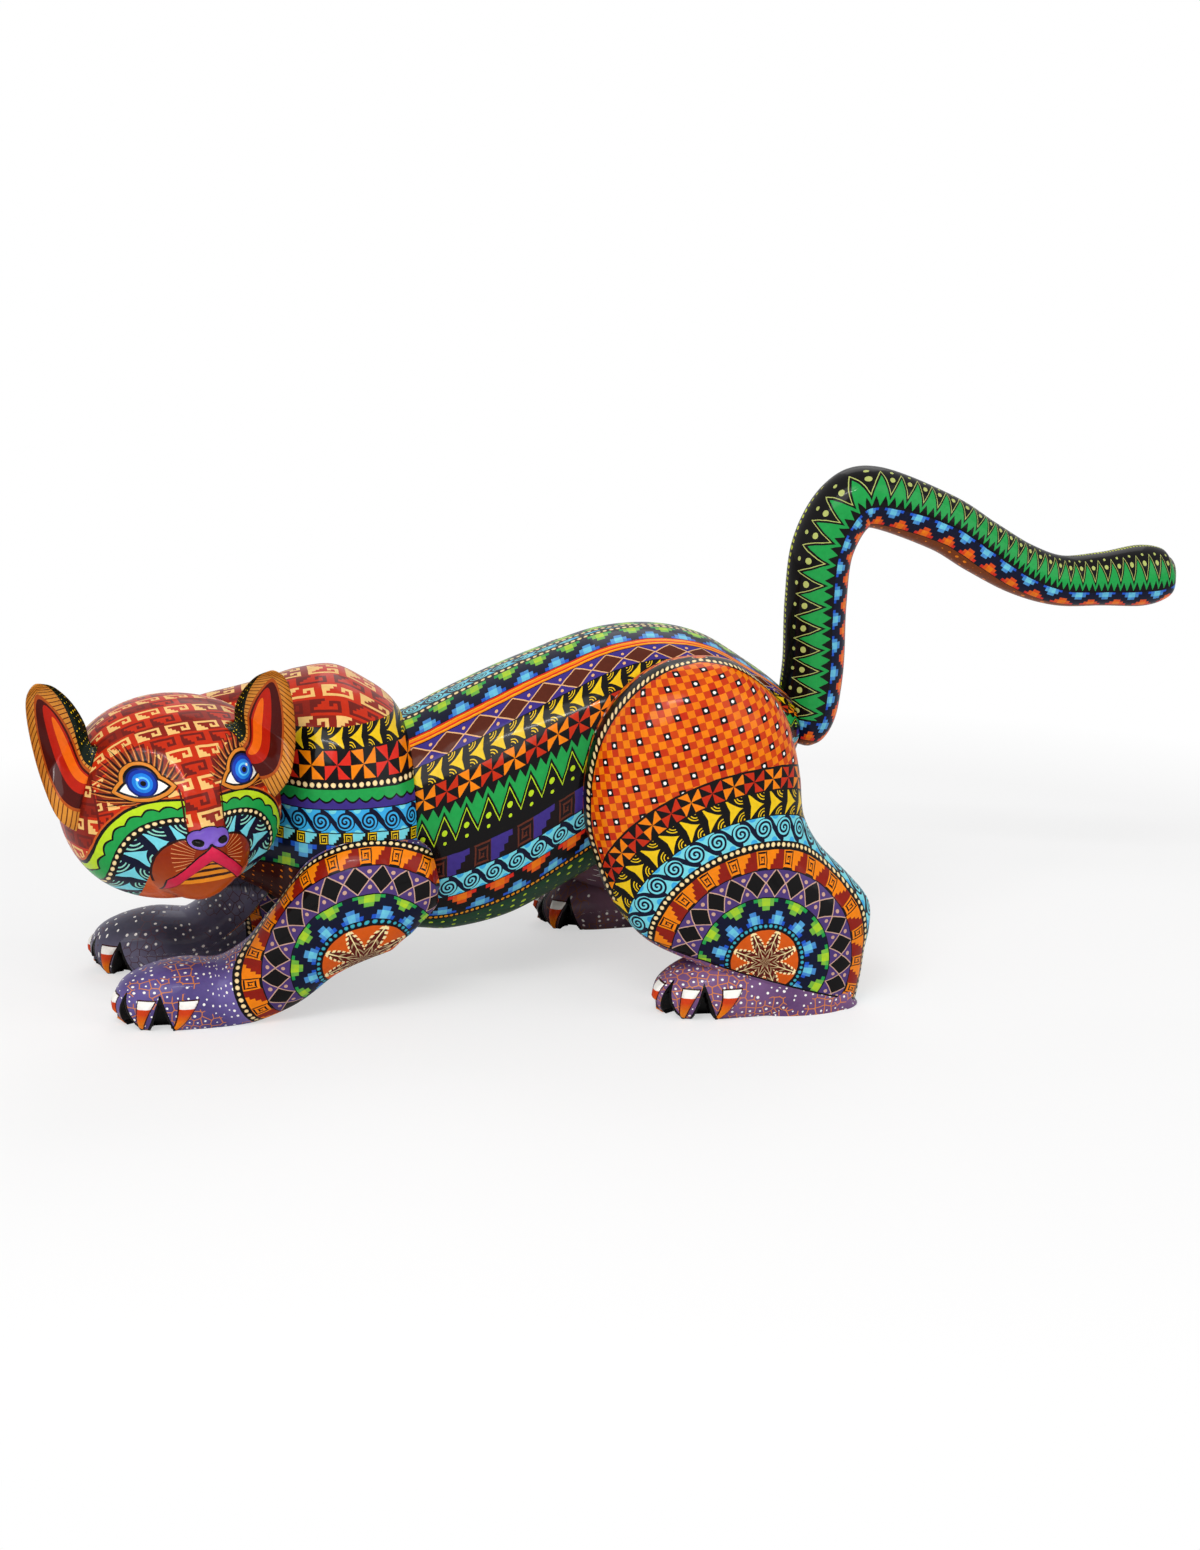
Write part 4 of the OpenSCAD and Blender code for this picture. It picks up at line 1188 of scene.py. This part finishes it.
# %% Rings and crackle
def ripples(tree, x, y, bands, colour):
    """Rings of motifs about a middle."""
    return lay_bands(tree, turn_of(y, x), far(x, y), bands, colour, rings=True)


def crackle(tree, x, y, ground, cell, edge, few):
    """Cells about 4.4 mm wide: drifting tone, patches of bright cell edges, a white dot in all but a few."""
    size = {"Vector": pair(tree, x, y), "Scale": 0.23, "Randomness": 0.7}
    cells, walls = (add(tree, "TexVoronoi", size, feature=feature, voronoi_dimensions="2D")
                    for feature in ("F1", "DISTANCE_TO_EDGE"))
    tone, patches = (Field(tree, noise(tree, *grain).outputs[0]) for grain in ((26, 1), (45, 2)))
    luck, *_ = parts(tree, "Color", Field(tree, cells.outputs["Color"]))
    bright = (Field(tree, walls.outputs["Distance"]) < 0.05) * (patches > 0.46)
    dotted = (Field(tree, cells.outputs["Distance"]) < 0.07 + 0.1 * luck) * (luck > few)
    return coats(ground, ((tone - 0.35) * 3, cell), (bright, edge), (dotted, WHITE))


def leg_rings(middle, peaks):
    """The rings of one joint: rosette, beads, pyramids, diamonds, stepped fret, beads."""
    return [
        (rosette, middle, 8, ink("d2560f"), ink("5a120c"), CREAM),
        (dots, 2.8, 46, BLACK, ink("3fb6b0"), BLUE),
        (pyramids, peaks, 12, NAVY, CYAN, BLUE, LIME, GREEN),
        (diamonds, 13.5, 24, ink("4b3672"), BLACK, ink("c9a08c")),
        (steps, 9.5, 22, ink("8a1a0c"), ORANGE, BLACK),
        (dots, 3.6, 116, BLACK, CREAM, TAN)]


# %% Haunch paint
KNEE_RINGS = leg_rings(17, 13) + [
    (scroll, 12.5, 34, CYAN, NAVY, SKY),
    (triangles, 12, 44, BLACK, YELLOW, YELLOW),
    (pinwheels, 10.8, 52, BLACK, ORANGE, RED)]
CHECK_TILT = np.radians(14)
BORDER_WIDTH, BORDER_ABOVE = 7.6, 58
FOOT_LINE_AT, FOOT_LINE_FALL = (41, 28), 0.33
# Ground, cell and edge of the crackled foot paints, and how many cells have no dot
ROSE = (ink("503060"), ink("815e8a"), ink("d9823a"), 0.15)
# The far side's rose is a darker, greyer copy of ROSE, with painted shade in it
ROSE_WITH_PAINTED_SHADE = (ink("33252f"), ink("705464"), ink("7a5038"), 0.6)


def haunch_paint(name, piece, *crackle_paints):
    """Check over the thigh, rings about the knee, beads along the edge, foot paint under a slanted line."""
    material, tree = new_paint(name)
    x, _, z = attribute(tree, "flat")
    x, z = wander(tree, x, z)
    u = x * np.cos(CHECK_TILT) + z * np.sin(CHECK_TILT)
    v = z * np.cos(CHECK_TILT) - x * np.sin(CHECK_TILT)
    colour = draw(tree, checks, u, v, 1, 3.5, ORANGE, RED, BLACK, WHITE)
    colour = ripples(tree, x - KNEE[0], z - KNEE[1], KNEE_RINGS, colour)
    rim, outline, _ = attribute(tree, "border")
    beads = draw(tree, dots, outline, (rim - 0.5) * 0.6, 4.4, 3.7, BLACK, CREAM, TAN)
    on_border = (rim < BORDER_WIDTH) * (z > BORDER_ABOVE)
    foot_line = z - FOOT_LINE_AT[1] + (x - FOOT_LINE_AT[0]) * FOOT_LINE_FALL
    colour = coats(colour, (on_border, over(BLACK, rim > 0.5, beads)),
                   (foot_line < 0, crackle(tree, x, z, *crackle_paints)), (abs(foot_line) < 0.5, BLACK))
    varnish(material, colour, piece)


haunch_paint("left_hind_leg_paint", left_haunch, *ROSE)
haunch_paint("right_hind_leg_paint", right_haunch, *ROSE_WITH_PAINTED_SHADE)

# %% [markdown]
# ## Paw paint
# Paws are crackled in purple and rose on the near side. The far side takes darker, greyer
# copies of those paints, with painted shade in them. Claws could be pieces of their own, but
# the carver raises them from the toes and only paints them, so they are coats of paint here
# too. The gaps between the toes are black.

# %% Front leg and foot paint
ELBOW, ELBOW_RINGS = (-124, 34), leg_rings(20, 12)
IRIS_PURPLE = (ink("3d3066"), ink("7062a2"), ink("d07f3c"), 0.15)
# The far paw's purple is a greyer, duller copy of IRIS_PURPLE, with painted shade in it
PURPLE_WITH_PAINTED_SHADE = (ink("484656"), ink("7a7792"), ink("5a4650"), 0.5)


def claws(tree, colour):
    """Black tents between the toes, and on each toe a claw: white root, red middle, orange tip."""
    side, height, gap = attribute(tree, "toes")
    claw = inside_claw(side, height)
    nail = coats(ORANGE, ((height - 4) / 6, ink("cf3f16")), (height > 12.4, WHITE))
    return coats(colour, (claw > -0.6, ink("3a1410")), (claw > 0, nail), (gap > -1.6, BLACK))


def paw_paint(name, piece, *crackle_paints):
    """Crackle and claws, with the rings of the elbow between them where the piece is a whole leg."""
    material, tree = new_paint(name)
    along, around, _ = attribute(tree, "pelt")
    colour = crackle(tree, along, around, *crackle_paints)
    if "flat" in piece.data.attributes:
        x, _, z = attribute(tree, "flat")
        x, z = wander(tree, x, z)
        colour = ripples(tree, x - ELBOW[0], z - ELBOW[1], ELBOW_RINGS, colour)
    varnish(material, claws(tree, colour), piece)


paw_paint("left_front_leg_paint", left_front_leg, *IRIS_PURPLE)
paw_paint("right_front_leg_paint", right_front_leg, *PURPLE_WITH_PAINTED_SHADE)
paw_paint("left_foot_paint", left_foot, *ROSE)
paw_paint("right_foot_paint", right_foot, *ROSE_WITH_PAINTED_SHADE)

# %% [markdown]
# ## Tail paint
# Lengthwise bands again: a brown underside, stepped pyramids in orange and blue, then
# green zigzags on black up to the outer line. The two lower bands turn round
# the root like the corner of a frame: across them is the smaller of two lengths, from the
# root and from the underside, and along them is the larger. That needs no seam.

# %% Tail paint
material, tree = new_paint("tail_paint")
along, across, from_root = attribute(tree, "bands")
along, across = wander(tree, along, across)
colour = draw(tree, plain, along, across, 10, 4, BLACK, LIME)
colour = lay_bands(tree, along, across, [
    (zigzags, 27, 10.8, BLACK, GREEN, ink("b4bd6a")),
    (dots, 2.4, 2.6, BLACK, LIME, YELLOW)], colour, 15.5)
colour = lay_bands(tree, most(across, from_root), least(across, from_root), [
    (plain, 16, 5, ink("7a3a14"), ORANGE),
    (pyramids, 11.5, 13.5, NAVY, ORANGE, SCARLET, CYAN, BLUE)], colour, -12)
varnish(material, colour, tail)

# %% [markdown]
# ## Ear paint
# A wide ochre rim with fine brown strokes, a leaf of maroon, red and orange inside, and a
# dark back speckled with yellow. The three leaves are ovals in the ear's own coordinates,
# so they bend with it.

# %% Ear paint
material, tree = new_paint("ear_paint")
share, across, depth = attribute(tree, "leaf")
leaf = far((across - 0.06) / 0.54, (share - 0.36) / 0.42)
flame = far((across + 0.09) / 0.32, (share - 0.36) / 0.35)
core = far((across + 0.2) / 0.15, (share - 0.34) / 0.26)
stroke = part_of(share * 26 + abs(across) * 2.5) < 0.22
inside = coats(ink("4a100c"), (flame < 1, ink("b8200f")), (core < 1, ink("ef6a14")))
back = draw(tree, plain, share * 46, turn_of(depth, across) * 90, 1, 2.1, ink("0d1a12"), YELLOW)
behind = most(depth > 0.12, across < -0.48 - 0.46 * share)
colour = coats(ink("d48a33"), (stroke, ink("5a2410")), (leaf < 1.12, ink("b04e18")), (leaf < 1, inside),
               (behind, back), (share < 0.003, BARE_WOOD))
varnish(material, colour, left_ear, right_ear)

# %% [markdown]
# ## Head paint
# Frets cover the crown. On the face, everything is drawn in the face's own plane, in
# millimetres left-right and up-down from its middle, and mirrored by taking the absolute
# value left-right. Each shape is a distance, from the same lines as the carving: an eye is
# a round iris and a flat lens over the arc of the lower lid, and the bands under the eyes
# are rounded frames about a point beside the chin. A picture would blur at such edges.

# %% Frets of the crown
FRET_PAINTS = (7.6, 14.5, RED, STRAW, MAROON)
CAP_EDGE = 0.77
material, tree = new_paint("head_block_paint")
x, depth, z = attribute(tree, "face")
side_arc, top_arc, seat = attribute(tree, "crown")
side_arc, top_arc = wander(tree, side_arc, top_arc)
x, z = wander(tree, x, z, 0.7)
half = abs(x)
front = depth < FACE_BACK
cap_along, cap_up, temple = attribute(tree, "cap")
colour = coats(draw(tree, frets, side_arc, top_arc, *FRET_PAINTS),
               (temple > CAP_EDGE, draw(tree, frets, cap_along, cap_up, *FRET_PAINTS)),
               (abs(temple - CAP_EDGE) < 0.008, MAROON))

# %% Bands under the eyes
u, v = (half - 8) * 1.1, z + 30.5
r, turn = (abs(u) ** 2.7 + abs(v) ** 2.7) ** (1 / 2.7), turn_of(u, v)
cheek = lay_bands(tree, turn * 150, r, [
    (triangles, 14.5, 9, NAVY, CYAN, ink("8fd3c0")),
    (dots, 2.8, 2.3, BLACK, CREAM, TAN),
    (scallops, 7.5, 5, GREEN, LIME, BLACK)], ink("c9571c"), 18)
on_cheek = (r < 44) * (half > 8.6) * (z < 15)
colour = coats(colour, (on_cheek * (depth < FACE_BACK + 1), BLACK), (on_cheek * front, cheek))

# %% Muzzle, nose and lips
pads, lip, nose = off_pads(half, z), off_lip(half, z), off_nose(half, z)
aside, up = half - 2, z + 13
strand = part_of(turn_of(aside, up) * 44) < 0.16
from_root = far(aside, up)
whisker = strand * (from_root > 6) * (from_root < 15) * (z > -24)
snout = coats(ink("b04a0c"), ((z + 34) / 20, ink("8a2a0a")), (whisker * 0.75, ink("f0a868")),
              ((abs(pads - 1) < 0.03) * (z > -27), ink("2a0c08")))
mouth = (z < -15 - 0.6 * half) * (z > -27) * (half < 13)
bridge = (abs(half - 9 - 0.04 * z) < 0.4) * (z > -4) * (z < 17)
colour = coats(
    colour, (front * (pads < 1.03), snout),
    (front * mouth, over(ink("e98a1e"), part_of(z / 3.6) < 0.42, ink("30100a"))),
    (front * bridge, ink("3a0f0a")), (front * (lip < 4.0) * (half < 18.6), BLACK),
    (front * (lip < 3.3) * (half < 18), over(ink("d3234a"), half / 22, ink("b81638"))),
    (front * (nose < 1.12), BLACK), (front * (nose < 1), over(ink("8b6bd0"), (z + 9) / 9, ink("6a4bb0"))),
    (front * (off_nostril(half, z) < 1), BLACK))

# %% Eyes, lashes and a painted highlight
ex, ez = eye_place(x, z)
almond = off_eye(ex, ez)
stroke = turn_of(ez + 6, ex) * 46
lash = part_of(stroke + 0.02 * almond) < 0.7 - 0.07 * almond
between = part_of(stroke + 0.4) < 0.34 - 0.03 * almond
fringe = front * (almond > 2.6) * (almond < 9.5) * most(ez > 2, (ex > 5) * (ez > -7))
brow = front * (almond < 6.8) * most(ez > 1, (ex > 5) * (ez > -6))
iris = far(ex - IRIS_OUT, ez - IRIS_UP)
ball = coats(WHITE, *((iris < radius, ink(code)) for radius, code in (
    (IRIS_RADIUS, "0d1c66"), (5.6, "1438a8"), (4.2, "1f7fe0"), (2.8, "59c0f2"), (2.0, "1c58c8"))))
# The small white dot beside the pupil is a painted highlight, a catch light
ball = coats(ball, (iris < 1.2, BLACK), (far(ex - 2.0, ez - 4.2) < 0.6, WHITE))
colour = coats(
    colour, (brow, ink("8a3214")), (fringe * between, ink("d98c40")), (fringe * lash, ink("1c0806")),
    (front * (almond < 2.6), BLACK), (front * (almond < 2.2), ink("d9832a")), (front * (almond < 0.8), BLACK),
    (front * (almond < -0.1), ball), (seat > 0.5, BARE_WOOD))
varnish(material, colour, head)

# %% [markdown]
# ## Bare wood
# Pegs and dowels are turned in pale wood and never painted. They keep their CAD shape, so
# they only need grain: noise drawn out along their length.

# %% Pegs and dowels
material, tree = new_paint("bare_wood")
drawn_out = add(tree, "Mapping", {"Vector": object_place(tree), "Scale": (60, 500, 500)})
grain = Field(tree, noise(tree, 1.0, 4, Field(tree, drawn_out.outputs[0])).outputs[0])
shade(tree, {"Height": grain, "Distance": 0.0004}, {
    "Base Color": over(ink("d9b37c"), grain, ink("a9763f")), "Roughness": 0.55 + 0.2 * grain})
pegs = [node for name, node in frame["nodes"].items() if name.endswith(("peg", "dowels"))]
for node in pegs:
    node.data.materials.clear()
    node.data.materials.append(material)
print("bare wood on", len(pegs), "pegs and dowel sets")

# %% [markdown]
# ## Camera
# The photograph looks at the figure's left side, a little from ahead and from above, with
# a long lens. The camera stands on a line from the point that it aims at.

# %% Camera
AIM, DISTANCE = np.array([-0.008, 0.004, 0.1004]), 1.4
camera = bpy.data.objects.new("camera", bpy.data.cameras.new("camera"))
bpy.context.scene.collection.objects.link(camera)
camera.data.sensor_fit = "VERTICAL"
camera.data.sensor_height = 36
camera.data.lens = 65.03
camera.data.clip_end = 20
bearing, height = np.radians(-10), np.radians(16)
back = np.array([np.sin(bearing) * np.cos(height), -np.cos(bearing) * np.cos(height), np.sin(height)])
camera.location = AIM + DISTANCE * back
camera.rotation_euler = (np.pi / 2 - height, 0, bearing)
bpy.context.scene.camera = camera
print("camera at", np.round(camera.location, 3).tolist())

# %% [markdown]
# ## Light and floor
# The light is a soft studio light: large lamps on both sides and behind, and a narrow one
# for a gleam on the varnish. The floor fades to white, as a paper backdrop does, and keeps
# the figure's shadow. The world is white where it is seen and dimmer as a light.

# %% Lamps
bpy.context.scene.view_settings.view_transform = "Standard"


def soft_light(name, where, size, power, narrow=1.0):
    """A rectangular lamp, turned towards the middle of the figure."""
    lamp = bpy.data.lights.new(name, "AREA")
    lamp.shape = "RECTANGLE"
    lamp.size, lamp.size_y, lamp.energy = size, narrow * size, power
    holder = bpy.data.objects.new(name, lamp)
    bpy.context.scene.collection.objects.link(holder)
    holder.location = where
    away = unit(np.array(where) - np.array([0, 0, 0.1]))
    holder.rotation_euler = (np.arccos(away[2]), 0, np.arctan2(away[1], away[0]) + np.pi / 2)
    print(f"lamp {name}: {power} W")


soft_light("key", (-0.9, -1.3, 1.7), 1.2, 19.5)
soft_light("fill", (1.4, -1.2, 1.2), 1.4, 9)
soft_light("rim", (0.4, 1.5, 1.6), 1.2, 8)
soft_light("gleam", (-0.3, -0.9, 1.2), 0.6, 3, 0.03)

# %% Backdrop and floor
world = bpy.data.worlds.new("studio")
bpy.context.scene.world = world
world.use_nodes = True
sky = world.node_tree
sky.nodes.clear()
rays = add(sky, "LightPath").outputs
camera_ray, glossy_ray, clear_ray = (
    Field(sky, rays[name]) for name in ("Is Camera Ray", "Is Glossy Ray", "Is Transmission Ray"))
seen = most(most(camera_ray, glossy_ray), clear_ray)
level = Field(sky, add(sky, "MapRange", {"Value": seen, "To Min": 0.45}).outputs["Result"])
backdrop = add(sky, "Background", {"Color": (1, 1, 1, 1), "Strength": level})
add(sky, "OutputWorld", {"Surface": Field(sky, backdrop.outputs[0])})

bpy.ops.mesh.primitive_plane_add(size=16)
floor = bpy.context.object
floor.name = "floor"
pale, tree = new_paint("pale_floor")
dull = Field(tree, add(tree, "BsdfDiffuse", {"Color": (0.92, 0.92, 0.92, 1)}).outputs[0])
glow = Field(tree, add(tree, "Emission").outputs[0])
seen = Field(tree, add(tree, "LightPath").outputs["Is Camera Ray"])
x, y, _ = parts(tree, "XYZ", object_place(tree))
fade = least(most((far(x / 0.5, y / 0.42) - 0.5) / 0.75, 0.55), 1)
blend = Field(tree, add(tree, "MixShader", {0: fade * seen, 1: dull, 2: glow}).outputs[0])
add(tree, "OutputMaterial", {"Surface": blend})
floor.data.materials.append(pale)
print("backdrop", world.name, "and", floor.name, "in", pale.name)
